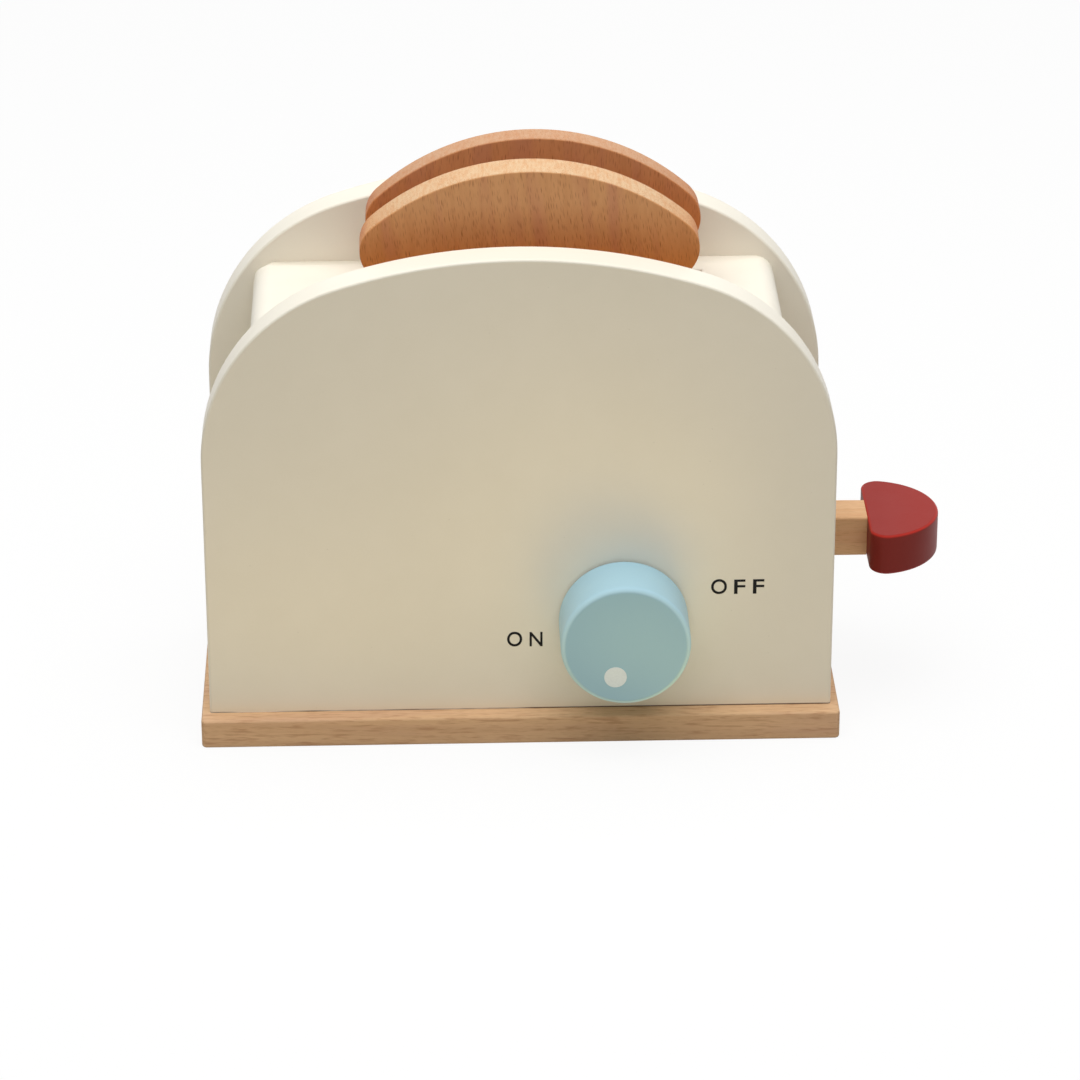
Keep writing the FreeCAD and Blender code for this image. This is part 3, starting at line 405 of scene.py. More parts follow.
fibre = noise(tree, stretch(tree, grain, (0.06, 3.2, 3.2)), detail=3.0, roughness=0.6)
cloud = noise(tree, stretch(tree, grain, (0.012, 0.07, 0.07)))
streak = noise(tree, stretch(tree, grain, (0.018, 0.55, 0.55), (7, 3, 1)), detail=3.0)
end_lines = noise(tree, stretch(tree, grain, (0.05, 0.22, 1.30), (3, 5, 8)), roughness=0.6)
fleck_noise = noise(tree, stretch(tree, grain, (0.13, 1.25, 1.25), (6, 1, 8)))
blush_noise = noise(tree, stretch(tree, grain, (0.010, 0.15, 0.15), (3, 9, 4)))

short_cells = stretch(tree, grain, (0.30, 2.30, 2.30))
long_cells = stretch(tree, grain, (0.19, 1.35, 1.35))
short_dashes = scattered(tree, short_cells, 1.0, 0.14, 0.44, channel=0, least=0.0, most=0.50)
long_dashes = scattered(tree, long_cells, 1.0, 0.08, 0.27, channel=0, least=0.50, most=0.85)
dashes = do_math(tree, "MAXIMUM", do_math(tree, "MULTIPLY", short_dashes, 0.62), long_dashes)

# %% [markdown]
# With the noises at hand, the colour is laid on in the order in which a glaze would be: pale to dark
# along the rings and streaks, then the blush, then the end grain where the board is cut across, and
# the flecks and dashes last, over everything.

# %% Beech: from masks to colour
pale, dark, blush_tone, dash_tone, end_pale = (
    beech_in.outputs[name] for name in ("Pale", "Dark", "Blush", "Dash", "End Grain")
)
tone = mixture(
    tree,
    (spread(tree, cloud, 0.30, 0.70), 0.30),
    (rings.outputs["Fac"], beech_in.outputs["Ring Contrast"]),
    (spread(tree, streak, 0.42, 0.70), 0.25),
    (spread(tree, fibre, 0.40, 0.72), 0.22),
    clamp=True,
)
end_tone = mixture(tree, (tone, 0.60), (spread(tree, end_lines, 0.42, 0.64), 0.35), clamp=True)
end_on = agreement(tree, beech_in.outputs["Normal"], beech_in.outputs["Grain Axis"])
end_face = spread(tree, do_math(tree, "ABSOLUTE", end_on), 0.45, 0.85)

long_wood = blend_colours(tree, tone, pale, dark)
long_wood = tint(tree, long_wood, spread(tree, blush_noise, 0.50, 0.66), 0.55, blush_tone)
end_wood = blend_colours(tree, end_tone, end_pale, dark)
wood = blend_colours(tree, end_face, long_wood, end_wood)
flecks = spread(tree, fleck_noise, 0.53, 0.70)
wood = tint(tree, wood, flecks, beech_in.outputs["Fleck Amount"], dash_tone)
wood = tint(tree, wood, dashes, beech_in.outputs["Dash Amount"], dash_tone)
tree.links.new(wood, beech_out.inputs["Color"])

rough = mixture(tree, (fibre, 0.14), (dashes, 0.12), start=0.50)
tree.links.new(rough, beech_out.inputs["Roughness"])
raised, sunk = do_math(tree, "MULTIPLY", fibre, 0.6), do_math(tree, "MULTIPLY", dashes, 0.7)
tree.links.new(do_math(tree, "SUBTRACT", raised, sunk), beech_out.inputs["Height"])
print("beech group:", len(beech_tree.nodes), "nodes")

# %% [markdown]
# ## A film of paint
#
# The panels, the handle and the knob are sprayed with satin paint over sanded board. Sprayed paint
# is never quite one colour: it drifts by a percent or two over the width of a hand, and close up it
# has the faint dimples called orange peel. Handling leaves a few pale scuffs and dark specks. The
# group gives all of that as a colour, a roughness and a height, from two colours that each material
# chooses: the paint itself and the tone it drifts to.

# %% Node group: sprayed paint
paint_tree, paint_in, paint_out = new_group(
    "sprayed_paint",
    [
        ("Vector", "Vector", None),
        ("Color", "Paint", (0.8, 0.8, 0.8, 1)),
        ("Color", "Drift", (0.75, 0.75, 0.75, 1)),
        ("Color", "Speck", (0.2, 0.18, 0.15, 1)),
        ("Float", "Speck Amount", 0.5),
        ("Float", "Base Roughness", 0.4),
    ],
    [("Color", "Color"), ("Float", "Roughness"), ("Float", "Height")],
)
tree = paint_tree
where = paint_in.outputs["Vector"]
drift = noise(tree, stretch(tree, where, (0.022, 0.022, 0.022)))
patch = noise(tree, stretch(tree, where, (0.11, 0.11, 0.11), (5, 2, 9)), detail=3.0)
grit = noise(tree, stretch(tree, where, (1.6, 1.6, 1.6)), roughness=0.6)
drifting = mixture(
    tree,
    (spread(tree, drift, 0.32, 0.68), 0.55),
    (spread(tree, patch, 0.35, 0.68), 0.28),
    (spread(tree, grit, 0.40, 0.66), 0.17),
)
film = blend_colours(tree, drifting, paint_in.outputs["Paint"], paint_in.outputs["Drift"])
specks = scattered(tree, where, 0.16, 0.020, 0.045, channel=1, least=0.86, most=0.90)
film = tint(tree, film, specks, paint_in.outputs["Speck Amount"], paint_in.outputs["Speck"])
tree.links.new(film, paint_out.inputs["Color"])

rough = mixture(tree, (patch, 0.10), (grit, 0.05), start=paint_in.outputs["Base Roughness"])
tree.links.new(rough, paint_out.inputs["Roughness"])
peel = noise(tree, stretch(tree, where, (0.75, 0.75, 0.75), (1, 8, 4)))
tree.links.new(mixture(tree, (grit, 0.25), start=peel), paint_out.inputs["Height"])
print("paint group:", len(paint_tree.nodes), "nodes")

# %% [markdown]
# ## Worn rims
#
# Every rim of the toy is eased by hand and gets rubbed first. A rim can be found without painting a
# mask: on a board, the faces point along its thickness or straight across it, and only the eased rim
# points somewhere in between. With t as the part of the normal along the thickness, four t squared
# times one minus t squared is nothing on faces and sides and one half-way round the rim. Noise breaks
# the mask up, because wear is never an even line.

# %% Node group: rim of a board
rim_tree, rim_in, rim_out = new_group(
    "board_rim",
    [
        ("Vector", "Vector", None),
        ("Vector", "Normal", None),
        ("Vector", "Thickness Axis", (0, 1, 0)),
    ],
    [("Float", "Rim"), ("Float", "Wear")],
)
tree = rim_tree
t = agreement(tree, rim_in.outputs["Normal"], rim_in.outputs["Thickness Axis"])
t_squared = do_math(tree, "MULTIPLY", t, t)
rim = do_math(tree, "MULTIPLY", t_squared, do_math(tree, "SUBTRACT", 1.0, t_squared))
rim = do_math(tree, "MULTIPLY", rim, 4.0, True)
tree.links.new(rim, rim_out.inputs["Rim"])
rub_place = stretch(tree, rim_in.outputs["Vector"], (0.09, 0.09, 0.09))
rub = noise(tree, rub_place, detail=4.0, roughness=0.65)
wear = do_math(tree, "MULTIPLY", rim, spread(tree, rub, 0.50, 0.72))
tree.links.new(wear, rim_out.inputs["Wear"])

# %% [markdown]
# ## Finishes
#
# A material here is short: the groups above work out colour, roughness and height, and a Principled
# shader turns them into a surface. The coat is the clear top layer that satin paint has, so it gets
# its own gloss above the duller pigment. Each material reads Object coordinates, in metres, and its
# Mapping node turns them into millimetres, shifts them, and lays the grain along the board.

# %% Helper: start a finish


def start_finish(name, colour, metallic=0.0, coat=0.0, coat_roughness=0.2, specular=0.5):
    """A material with a Principled shader, and its node tree, shader and coordinate node."""
    finish = bpy.data.materials.new(name)
    finish.use_nodes = True
    finish.diffuse_color = (*colour, 1)
    tree = finish.node_tree
    shader = tree.nodes["Principled BSDF"]
    shader.inputs["Base Color"].default_value = (*colour, 1)
    shader.inputs["Metallic"].default_value = metallic
    shader.inputs["Coat Weight"].default_value = coat
    shader.inputs["Coat Roughness"].default_value = coat_roughness
    shader.inputs["Specular IOR Level"].default_value = specular
    places = tree.nodes.new("ShaderNodeTexCoord")
    return finish, tree, shader, places


def in_millimetres(tree, places, turn=(0, 0, 0), move=(0, 0, 0)):
    """Object coordinates in millimetres, turned so that the grain runs along X."""
    turned = tuple(math.radians(angle) for angle in turn)
    made = add_node(tree, "ShaderNodeMapping", Scale=(1 / mm,) * 3, Rotation=turned, Location=move)
    tree.links.new(places.outputs["Object"], made.inputs["Vector"])
    return made.outputs["Vector"]


def height_of(tree, place):
    """How high a place is, in the unit of the place."""
    made = add_node(tree, "ShaderNodeSeparateXYZ")
    tree.links.new(place, made.inputs[0])
    return made.outputs["Z"]


def feed(tree, shader, colour, roughness, height, strength, distance):
    """Links the finish to its shader; the height becomes a bumped normal, distance is in metres."""
    tree.links.new(colour, shader.inputs["Base Color"])
    tree.links.new(roughness, shader.inputs["Roughness"])
    bump = add_node(tree, "ShaderNodeBump", Strength=strength, Distance=distance)
    tree.links.new(height, bump.inputs["Height"])
    tree.links.new(bump.outputs["Normal"], shader.inputs["Normal"])


# %% [markdown]
# Beech appears with its grain in three directions: along the base board and the lever, upright in the
# slices, and across the rests. The slices get a painted shade lower down, where the panels and the top
# board shade them, by multiplying in a brown below a certain height. The pith of the tree, the centre
# of the rings, is moved well outside each board by the Mapping node, because boards are sawn from the
# side of a log. That makes rings show as long bands on a face and as slanting stripes on the end.

# %% Beech finishes
grain_turns = {"X": (0, 0, 0), "Y": (0, 0, -90), "Z": (0, 90, 0)}
grain_axes = {"X": (1, 0, 0), "Y": (0, 1, 0), "Z": (0, 0, 1)}
# The brown of a painted shade, multiplied into the slices lower down.
slot_shade_brown = (0.87, 0.57, 0.25)


def beech_finish(
    name, grain, pith, pale, dark, blush, dash, end_grain, rings, dashes, flecks,
    slope=0.0, shaded_below=None,
):
    """Bare beech with the grain along X, Y or Z.

    pith is where the rings have their centre, slope tilts the grain by some degrees, and shaded_below
    is a pair of heights for a painted shade: full below the first, none above the second.
    """
    finish, tree, shader, places = start_finish(name, pale, specular=0.35)
    wood = add_node(tree, "ShaderNodeGroup", {"node_tree": beech_tree}, Grain_Axis=grain_axes[grain])
    tones = {"Pale": pale, "Dark": dark, "Blush": blush, "Dash": dash, "End Grain": end_grain}
    for socket, colour in tones.items():
        wood.inputs[socket].default_value = (*colour, 1)
    amounts = {"Ring Contrast": rings, "Dash Amount": dashes, "Fleck Amount": flecks}
    for socket, amount in amounts.items():
        wood.inputs[socket].default_value = amount
    across, tilt, round_z = grain_turns[grain]
    lay = in_millimetres(tree, places, (across, tilt + slope, round_z), pith)
    tree.links.new(lay, wood.inputs["Grain Coordinate"])
    tree.links.new(places.outputs["Normal"], wood.inputs["Normal"])
    colour = wood.outputs["Color"]
    # Painted shade: the slices darken lower down, where the panels and the top board shade them.
    if shaded_below:
        low = spread(tree, height_of(tree, in_millimetres(tree, places)), *shaded_below, 1.0, 0.0)
        colour = blend_colours(tree, low, colour, slot_shade_brown, mode="MULTIPLY")
    rough, height = wood.outputs["Roughness"], wood.outputs["Height"]
    feed(tree, shader, colour, rough, height, strength=0.35, distance=0.00012)
    return finish


board_beech = beech_finish(
    "beech_board", "X", pith=(0, 60, 45), slope=-1.5, rings=0.14, dashes=0.35, flecks=0.50,
    pale=(0.85, 0.565, 0.325), dark=(0.62, 0.375, 0.21), blush=(0.67, 0.41, 0.27),
    dash=(0.44, 0.20, 0.10), end_grain=(0.66, 0.44, 0.25),
)
lever_beech = beech_finish(
    "beech_lever", "X", pith=(40, 25, 90), rings=0.12, dashes=0.40, flecks=0.15,
    pale=(0.82, 0.54, 0.31), dark=(0.66, 0.34, 0.15), blush=(0.70, 0.37, 0.20),
    dash=(0.42, 0.19, 0.08), end_grain=(0.66, 0.43, 0.24),
)
rest_beech = beech_finish(
    "beech_rest", "Y", pith=(10, 30, 50), rings=0.14, dashes=0.40, flecks=0.20,
    pale=(0.70, 0.45, 0.25), dark=(0.54, 0.30, 0.15), blush=(0.62, 0.36, 0.22),
    dash=(0.40, 0.17, 0.07), end_grain=(0.64, 0.42, 0.24),
)
front_toast_beech = beech_finish(
    "toast_beech_front", "Z", pith=(30, 42, 60), slope=6.0, shaded_below=(140.0, 162.0),
    rings=0.10, dashes=0.75, flecks=0.0,
    pale=(0.80, 0.415, 0.185), dark=(0.64, 0.29, 0.11), blush=(0.64, 0.27, 0.15),
    dash=(0.36, 0.12, 0.04), end_grain=(0.74, 0.54, 0.33),
)
back_toast_beech = beech_finish(
    "toast_beech_back", "Z", pith=(80, 60, 25), slope=-1.8, shaded_below=(140.0, 164.0),
    rings=0.10, dashes=0.75, flecks=0.0,
    pale=(0.68, 0.30, 0.125), dark=(0.54, 0.22, 0.08), blush=(0.56, 0.23, 0.12),
    dash=(0.32, 0.10, 0.04), end_grain=(0.61, 0.375, 0.225),
)
print("beech finishes made")

# %% [markdown]
# The cream, red and blue are one recipe, sprayed paint, with their own colours and gloss. On the
# boards the rim group adds wear: there the paint is a little thinner and the colour shifts slightly.
# Where a panel stands on the base board, a hairline of painted shade with some dust in it
# darkens the last of the paint.
# That joint lies as high as the base board is thick.
#
# On the round knob there is no single thickness axis across the whole piece, but the knob's own axis
# does the same job, because its face, its side and its rounded rim differ by the same angle. On the
# knob the face gets a painted shade, a tone deeper than the side. On the handle the flat top gets a
# painted light and is brighter than the curved side. In both, the angle to the axis picks the flat
# faces out and gives them a tone of their own, and the eased rims get a painted highlight, the
# brightest tone.

# %% Paint finishes
base_thick = 9.0
satin_roughness = 0.38
joint_shade = (0.13, 0.085, 0.055)
joint_line = (0.22, 0.50)


def paint_finish(
    name, axis, paint, drift, rubbed, speck, specks, gloss, coat,
    specular=0.4, joint=None, face_shading=None, edge=None,
):
    """Satin paint; axis is a board's thickness or the axis of a turned piece.

    joint is the height of a joint line of painted shade and dust, face_shading the tone painted on the
    faces that look along the axis for how light falls there, and edge a painted highlight for the
    eased rims.
    """
    finish, tree, shader, places = start_finish(
        name, paint, coat=coat, coat_roughness=gloss, specular=specular
    )
    film = add_node(
        tree, "ShaderNodeGroup", {"node_tree": paint_tree},
        Paint=(*paint, 1), Drift=(*drift, 1), Speck=(*speck, 1),
        Speck_Amount=specks, Base_Roughness=satin_roughness,
    )
    where = in_millimetres(tree, places)
    tree.links.new(where, film.inputs["Vector"])
    rims = add_node(tree, "ShaderNodeGroup", {"node_tree": rim_tree}, Thickness_Axis=axis)
    tree.links.new(where, rims.inputs["Vector"])
    tree.links.new(places.outputs["Normal"], rims.inputs["Normal"])
    colour = film.outputs["Color"]
    # Painted light and shade: the faces along the axis get their own tone, lighter on the handle's top
    # and darker on the knob's face.
    if face_shading:
        facing = do_math(tree, "ABSOLUTE", agreement(tree, places.outputs["Normal"], axis))
        colour = blend_colours(tree, spread(tree, facing, 0.86, 0.985), colour, face_shading)
    colour = tint(tree, colour, rims.outputs["Wear"], 0.55, rubbed)
    # Painted highlight: the eased rims get a brighter tone.
    if edge:
        colour = tint(tree, colour, rims.outputs["Rim"], 0.7, edge)
    # Painted shade with some dust: a dark hairline along the joint with the base board.
    if joint:
        full, gone = (joint + above for above in joint_line)
        line = spread(tree, height_of(tree, where), full, gone, 1.0, 0.0)
        joint_breakup = noise(tree, stretch(tree, where, (0.035, 0.035, 0.035)), detail=3.0)
        colour = tint(tree, colour, line, spread(tree, joint_breakup, 0.36, 0.52), joint_shade)
    rough, height = film.outputs["Roughness"], film.outputs["Height"]
    feed(tree, shader, colour, rough, height, strength=0.25, distance=0.00006)
    return finish


cream = {
    "paint": (0.90, 0.853, 0.74), "drift": (0.87, 0.823, 0.705), "rubbed": (0.80, 0.745, 0.62),
    "speck": (0.30, 0.27, 0.22), "specks": 0.12, "gloss": 0.34, "coat": 0.15,
}
panel_cream = paint_finish("cream_panel", axis=(0, 1, 0), joint=base_thick, **cream)
top_cream = paint_finish("cream_top", axis=(0, 0, 1), **cream)
wall_cream = paint_finish("cream_wall", axis=(1, 0, 0), **cream)
# The red's flat top gets a painted light, and its eased rims a painted highlight.
handle_red = paint_finish(
    "red_handle", axis=(0, 0, 1), gloss=0.30, coat=0.0, specular=0.2,
    paint=(0.225, 0.020, 0.014), drift=(0.20, 0.017, 0.012), rubbed=(0.36, 0.036, 0.026),
    speck=(0.75, 0.60, 0.55), specks=0.50, face_shading=(0.29, 0.019, 0.013), edge=(0.56, 0.030, 0.020),
)
# The blue's face gets a painted shade, and its eased rims a painted highlight; its rubbed tone is
# nearly as light as that highlight.
knob_blue = paint_finish(
    "blue_knob", axis=(0, 1, 0), gloss=0.30, coat=0.10,
    paint=(0.43, 0.68, 0.80), drift=(0.41, 0.655, 0.78), rubbed=(0.49, 0.74, 0.85),
    speck=(0.16, 0.20, 0.22), specks=0.60, face_shading=(0.29, 0.50, 0.66), edge=(0.50, 0.75, 0.86),
)
print("paint finishes made")

# %% [markdown]
# Metal parts are small and mostly hidden, but a rod, a spring or a screw still deserves more than a
# grey. Zinc plating is a soft metal with cloudy roughness; spring wire and turned rods carry fine
# lines. Printed letters and the dot are thin ink: matt, with a slightly uneven colour.

# %% Metal, nylon and ink


def metal_finish(name, metal, cloud_scale, lines):
    """Plated or drawn steel; lines is how strongly fine marks round Z show."""
    finish, tree, shader, places = start_finish(name, metal, metallic=1.0)
    where = in_millimetres(tree, places)
    cloud = noise(tree, where, cloud_scale, detail=3.0)
    mark = noise(tree, stretch(tree, where, (0.3, 0.3, 9.0)))
    duller = tuple(channel * 0.78 for channel in metal)
    colour = blend_colours(tree, cloud, duller, metal)
    rough = mixture(tree, (cloud, 0.22), (mark, lines), start=0.22)
    feed(tree, shader, colour, rough, mark, strength=0.2, distance=0.00003)
    return finish


def ink_finish(name, ink, thinner, roughness):
    """A thin print or moulded plastic, slightly uneven."""
    finish, tree, shader, places = start_finish(name, ink, specular=0.15)
    uneven = spread(tree, noise(tree, in_millimetres(tree, places), 1.7, detail=3.0), 0.35, 0.70)
    colour = blend_colours(tree, uneven, ink, thinner)
    rough = mixture(tree, (uneven, 0.15), start=roughness)
    feed(tree, shader, colour, rough, uneven, strength=0.15, distance=0.00002)
    return finish


zinc_steel = metal_finish("zinc_steel", (0.62, 0.62, 0.64), 0.5, 0.05)
rod_steel = metal_finish("rod_steel", (0.60, 0.60, 0.61), 0.25, 0.16)
spring_wire = metal_finish("spring_wire", (0.55, 0.56, 0.58), 0.8, 0.10)
white_nylon = ink_finish("white_nylon", (0.86, 0.86, 0.83), (0.80, 0.80, 0.77), 0.42)
black_ink = ink_finish("black_ink", (0.006, 0.006, 0.006), (0.014, 0.013, 0.012), 0.5)
white_ink = ink_finish("white_ink", (0.69, 0.80, 0.93), (0.65, 0.76, 0.89), 0.45)
print("materials:", len(bpy.data.materials))

# %% [markdown]
# ## Tools for making shapes
#
# Every piece starts as a flat drawing in millimetres, made with a handful of strokes: `swing` draws
# an arc by spinning one corner about a centre, `run` draws a straight line from a corner. A half
# drawing is mirrored, closed into a face, extruded to the board's thickness, and its rims are eased
# with a bevel. That is the order a joiner works in too: mark out, cut, round over.
#
# `Drawing` keeps the open end of the line, so strokes can follow each other like a pencil's. Corners
# closer than `weld`, a thousandth of a millimetre, are one corner drawn twice, and are merged.

# %% Helper: a pencil
weld = 0.001


class Drawing:
    """A flat line drawing in X and Y, in millimetres, that ends at one open corner."""

    def __init__(self, x, y):
        self.mesh = bmesh.new()
        self.tip = self.mesh.verts.new((x, y, 0))

    def run(self, x, y):
        """A straight line to a point."""
        made = bmesh.ops.extrude_vert_indiv(self.mesh, verts=[self.tip])
        self.tip = made["verts"][0]
        bmesh.ops.translate(self.mesh, verts=[self.tip], vec=Vector((x, y, 0)) - self.tip.co)
        return self

    def swing(self, x, y, degrees, steps):
        """An arc about a centre; positive degrees run anticlockwise."""
        made = bmesh.ops.spin(
            self.mesh, geom=[self.tip], cent=(x, y, 0), axis=(0, 0, 1),
            angle=math.radians(degrees), steps=steps, use_duplicate=False,
        )
        self.tip = [item for item in made["geom_last"] if isinstance(item, bmesh.types.BMVert)][0]
        return self

    def mirrored(self):
        """The other half, mirrored left to right."""
        every = self.mesh.verts[:] + self.mesh.edges[:]
        bmesh.ops.mirror(self.mesh, geom=every, axis="X", merge_dist=weld)
        return self

    def closed(self):
        """Merges corners that meet and fills the line with one face."""
        bmesh.ops.remove_doubles(self.mesh, verts=self.mesh.verts, dist=weld)
        bmesh.ops.contextual_create(self.mesh, geom=self.mesh.edges[:])
        return self.mesh


# %% [markdown]
# A drilled board needs holes in its drawing. The outline and the circles are loose rings of edges,
# and one fill spans the surface between them. The fill makes triangles; those that lie in one plane
# are then dissolved back into large faces, which leaves a mesh as light as a drawing of the board.

# %% Helpers: rectangles, holes and thickness
sharp_bend = math.radians(50)


def rectangle(mesh, low, high, corner=0.0, segments=6):
    """A ring of edges between two points (x, y), with its corners rounded."""
    made = bmesh.ops.create_grid(mesh, x_segments=1, y_segments=1, size=0.5)
    corners = made["verts"]
    wide, tall = high[0] - low[0], high[1] - low[1]
    bmesh.ops.scale(mesh, vec=(wide, tall, 1), verts=corners)
    middle = ((low[0] + high[0]) / 2, (low[1] + high[1]) / 2, 0)
    bmesh.ops.translate(mesh, vec=middle, verts=corners)
    if corner:
        bmesh.ops.bevel(
            mesh, geom=corners, offset=corner, offset_type="OFFSET", affect="VERTICES",
            segments=segments, profile=0.5, material=-1,
        )
    bmesh.ops.delete(mesh, geom=mesh.faces[:], context="FACES_ONLY")


def hole(mesh, x, y, diameter, segments=32):
    """A ring of edges for a round hole."""
    made = bmesh.ops.create_circle(mesh, cap_ends=False, radius=diameter / 2, segments=segments)
    bmesh.ops.translate(mesh, vec=(x, y, 0), verts=made["verts"])


def fill(mesh):
    """Spans the surface between all the rings, then joins its triangles into large faces."""
    bmesh.ops.triangle_fill(
        mesh, use_beauty=True, use_dissolve=False, edges=mesh.edges[:], normal=(0, 0, 1)
    )
    bmesh.ops.dissolve_limit(
        mesh, angle_limit=math.radians(1), use_dissolve_boundaries=False,
        verts=mesh.verts[:], edges=mesh.edges[:],
    )


def thicken(mesh, height):
    """Extrudes a flat face upwards into a board."""
    made = bmesh.ops.extrude_face_region(mesh, geom=mesh.faces[:], use_keep_orig=True)
    lifted = [item for item in made["geom"] if isinstance(item, bmesh.types.BMVert)]
    bmesh.ops.translate(mesh, vec=(0, 0, height), verts=lifted)
    bmesh.ops.recalc_face_normals(mesh, faces=mesh.faces[:])


def ease(mesh, radius, wanted, segments=4):
    """Rounds the sharp edges for which the test is true."""
    sharp = [
        edge for edge in mesh.edges
        if len(edge.link_faces) == 2 and edge.calc_face_angle(0) > sharp_bend and wanted(edge)
    ]
    bmesh.ops.bevel(
        mesh, geom=sharp, offset=radius, offset_type="OFFSET", affect="EDGES",
        segments=segments, profile=0.5, material=-1, clamp_overlap=True,
    )
    return len(sharp)


# %% [markdown]
# An edge is picked for easing by where it lies. Three questions cover most boards: does it lie level
# at a certain height, does it lie in one of the board's two faces, and does it belong to the outline
# and not to a hole?

# %% Helpers: where an edge lies
touching = 0.01
outline_band = 2.0


def at_height(edge, z):
    """True for an edge that lies level at a height."""
    return all(abs(corner.co.z - z) < touching for corner in edge.verts)


def in_a_face(edge):
    """True for an edge that doesn't run through the thickness of its board."""
    return abs(edge.verts[0].co.z - edge.verts[1].co.z) < touching


def in_outline(edge, half_long, half_wide):
    """True for an edge that reaches the band inside a board's outline, where no hole lies."""
    return any(
        abs(corner.co.x) > half_long - outline_band or abs(corner.co.y) > half_wide - outline_band
        for corner in edge.verts
    )


# %% [markdown]
# A drawing lies flat. An upright board is the same drawing turned: `FRONT` stands it up so that X
# stays to the right and Y becomes up; `SIDE` makes a drawing that is looked at from the end.
#
# `finish_piece` does what every piece needs: the millimetres become metres, the turn and the place go
# into the mesh itself (so the object stays at the origin), the normals face outward, and a weighted
# normal modifier shades the flats flat and the eased rims round.

# %% Helper: from drawing to finished piece
PLAN = Matrix.Identity(4)
FRONT = Matrix.Rotation(math.radians(90), 4, "X")
SIDE = Matrix.Rotation(math.radians(90), 4, "Z") @ FRONT
shading_bend = math.radians(40)


def finish_piece(name, mesh, turn, place, finish, body="root", instead=(), weighted=True):
    """Puts a shape in its place and makes an object of it; place is in millimetres."""
    stand = Matrix.Diagonal((mm, mm, mm, 1)) @ Matrix.Translation(Vector(place)) @ turn
    bmesh.ops.transform(mesh, matrix=stand, verts=mesh.verts[:])
    bmesh.ops.recalc_face_normals(mesh, faces=mesh.faces[:])
    data = bpy.data.meshes.new(name)
    mesh.to_mesh(data)
    mesh.free()
    data.materials.append(finish)
    for polygon in data.polygons:
        polygon.use_smooth = True
    piece = bpy.data.objects.new(name, data)
    scene.collection.objects.link(piece)
    if weighted:
        data.set_sharp_from_angle(angle=shading_bend)
        shading = piece.modifiers.new("shading", "WEIGHTED_NORMAL")
        shading.keep_sharp = True
        shading.weight = 90
    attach(piece, body)
    if instead:
        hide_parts(*instead)
    print(f"{name}: {len(data.polygons)} faces")
    return piece


# %% [markdown]
# ## Base board
#
# A plain beech board, 190 × 87 × 9 mm, with all its edges slightly eased and ten screw holes that are
# countersunk from below. It could be a box with a bevel, but the holes are real, and someone who
# turns the toy over sees them. So the board is drawn flat with its holes, filled, thickened, and
# then bevelled twice: once round the outside, and once, wider and flat, round each hole's lower rim.

# %% Base board
base_half, base_corner, board_rim = (95.0, 43.5), 1.5, 0.8
screw_hole, screw_head = 3.5, 7.0
panel_middle = 32.75
panel_screw_x = (-70.0, 0.0, 70.0)
wall_screw_y = (-15.0, 15.0)
wall_middle = 73.0
screw_places = [(x, side * panel_middle) for x in panel_screw_x for side in (-1, 1)]
screw_places += [(side * wall_middle, y) for y in wall_screw_y for side in (-1, 1)]
sink = (screw_head - screw_hole) / 2

base = bmesh.new()
rectangle(base, (-base_half[0], -base_half[1]), base_half, corner=base_corner)
for hole_x, hole_y in screw_places:
    hole(base, hole_x, hole_y, screw_hole, segments=20)
fill(base)
thicken(base, base_thick)
outer = ease(base, board_rim, lambda e: in_a_face(e) and in_outline(e, *base_half))
sunk = ease(base, sink, lambda e: at_height(e, 0) and not in_outline(e, *base_half), segments=1)
print("outer rim edges:", outer, "edges of countersinks:", sunk)
finish_piece("base_board_wood", base, PLAN, (0, 0, 0), board_beech, instead=["base_board"])

# %% [markdown]
# ## The two arch panels
#
# Both panels are the same board: straight sides, two shoulders, and a flatter arc over the top. On
# the real toy they are cut with a saw along a template, and the rim is rounded a little with a
# router before the paint goes on. Half the line is drawn from the middle of the foot: the foot, the
# straight side, a swing about the shoulder's centre, and a swing about the crown's centre far below.
# Each arc starts where the last one ended, and the two circles touch inside one another, so the join
# is smooth.

# %% Arch outline
panel_thick, panel_half, side_height = 10.7, 92.5, 81.3
shoulder, crown = 57.3, 168.7
shoulder_x = panel_half - shoulder
crown_drop = math.sqrt((crown - shoulder) ** 2 - shoulder_x ** 2)
shoulder_turn = math.degrees(math.atan2(crown_drop, shoulder_x))


def arch():
    """The outline of a panel, standing on y = 0."""
    half = Drawing(0, 0).run(panel_half, 0).run(panel_half, side_height)
    half.swing(shoulder_x, side_height, shoulder_turn, steps=28)
    half.swing(0, side_height - crown_drop, 90 - shoulder_turn, steps=14)
    return half.mirrored()


arch_height = side_height + crown - crown_drop
print("shoulder turns", round(shoulder_turn, 1), "degrees; arch height", round(arch_height, 1))

# %% [markdown]
# The front panel has one hole, the bore for the knob's screw. The back has none. Both rest on the
# base board, so their foot isn't rounded like the rest; it gets only the tiny bevel that a sanding
# block leaves. The thin dark line of the joint comes from that and from a painted shade, with some
# dust in it, in the finish.

# %% Panels
knob_x, knob_z, knob_bore = 30.4, 38.6, 4.2
foot_rim = 0.25


def at_foot(edge):
    """True for an edge that lies on the base board."""
    return all(corner.co.y < touching for corner in edge.verts)


def near_bore(edge):
    """True for the rim of the knob's bore."""
    return all(
        math.hypot(corner.co.x - knob_x, corner.co.y - knob_z + base_thick) < knob_bore
        for corner in edge.verts
    )


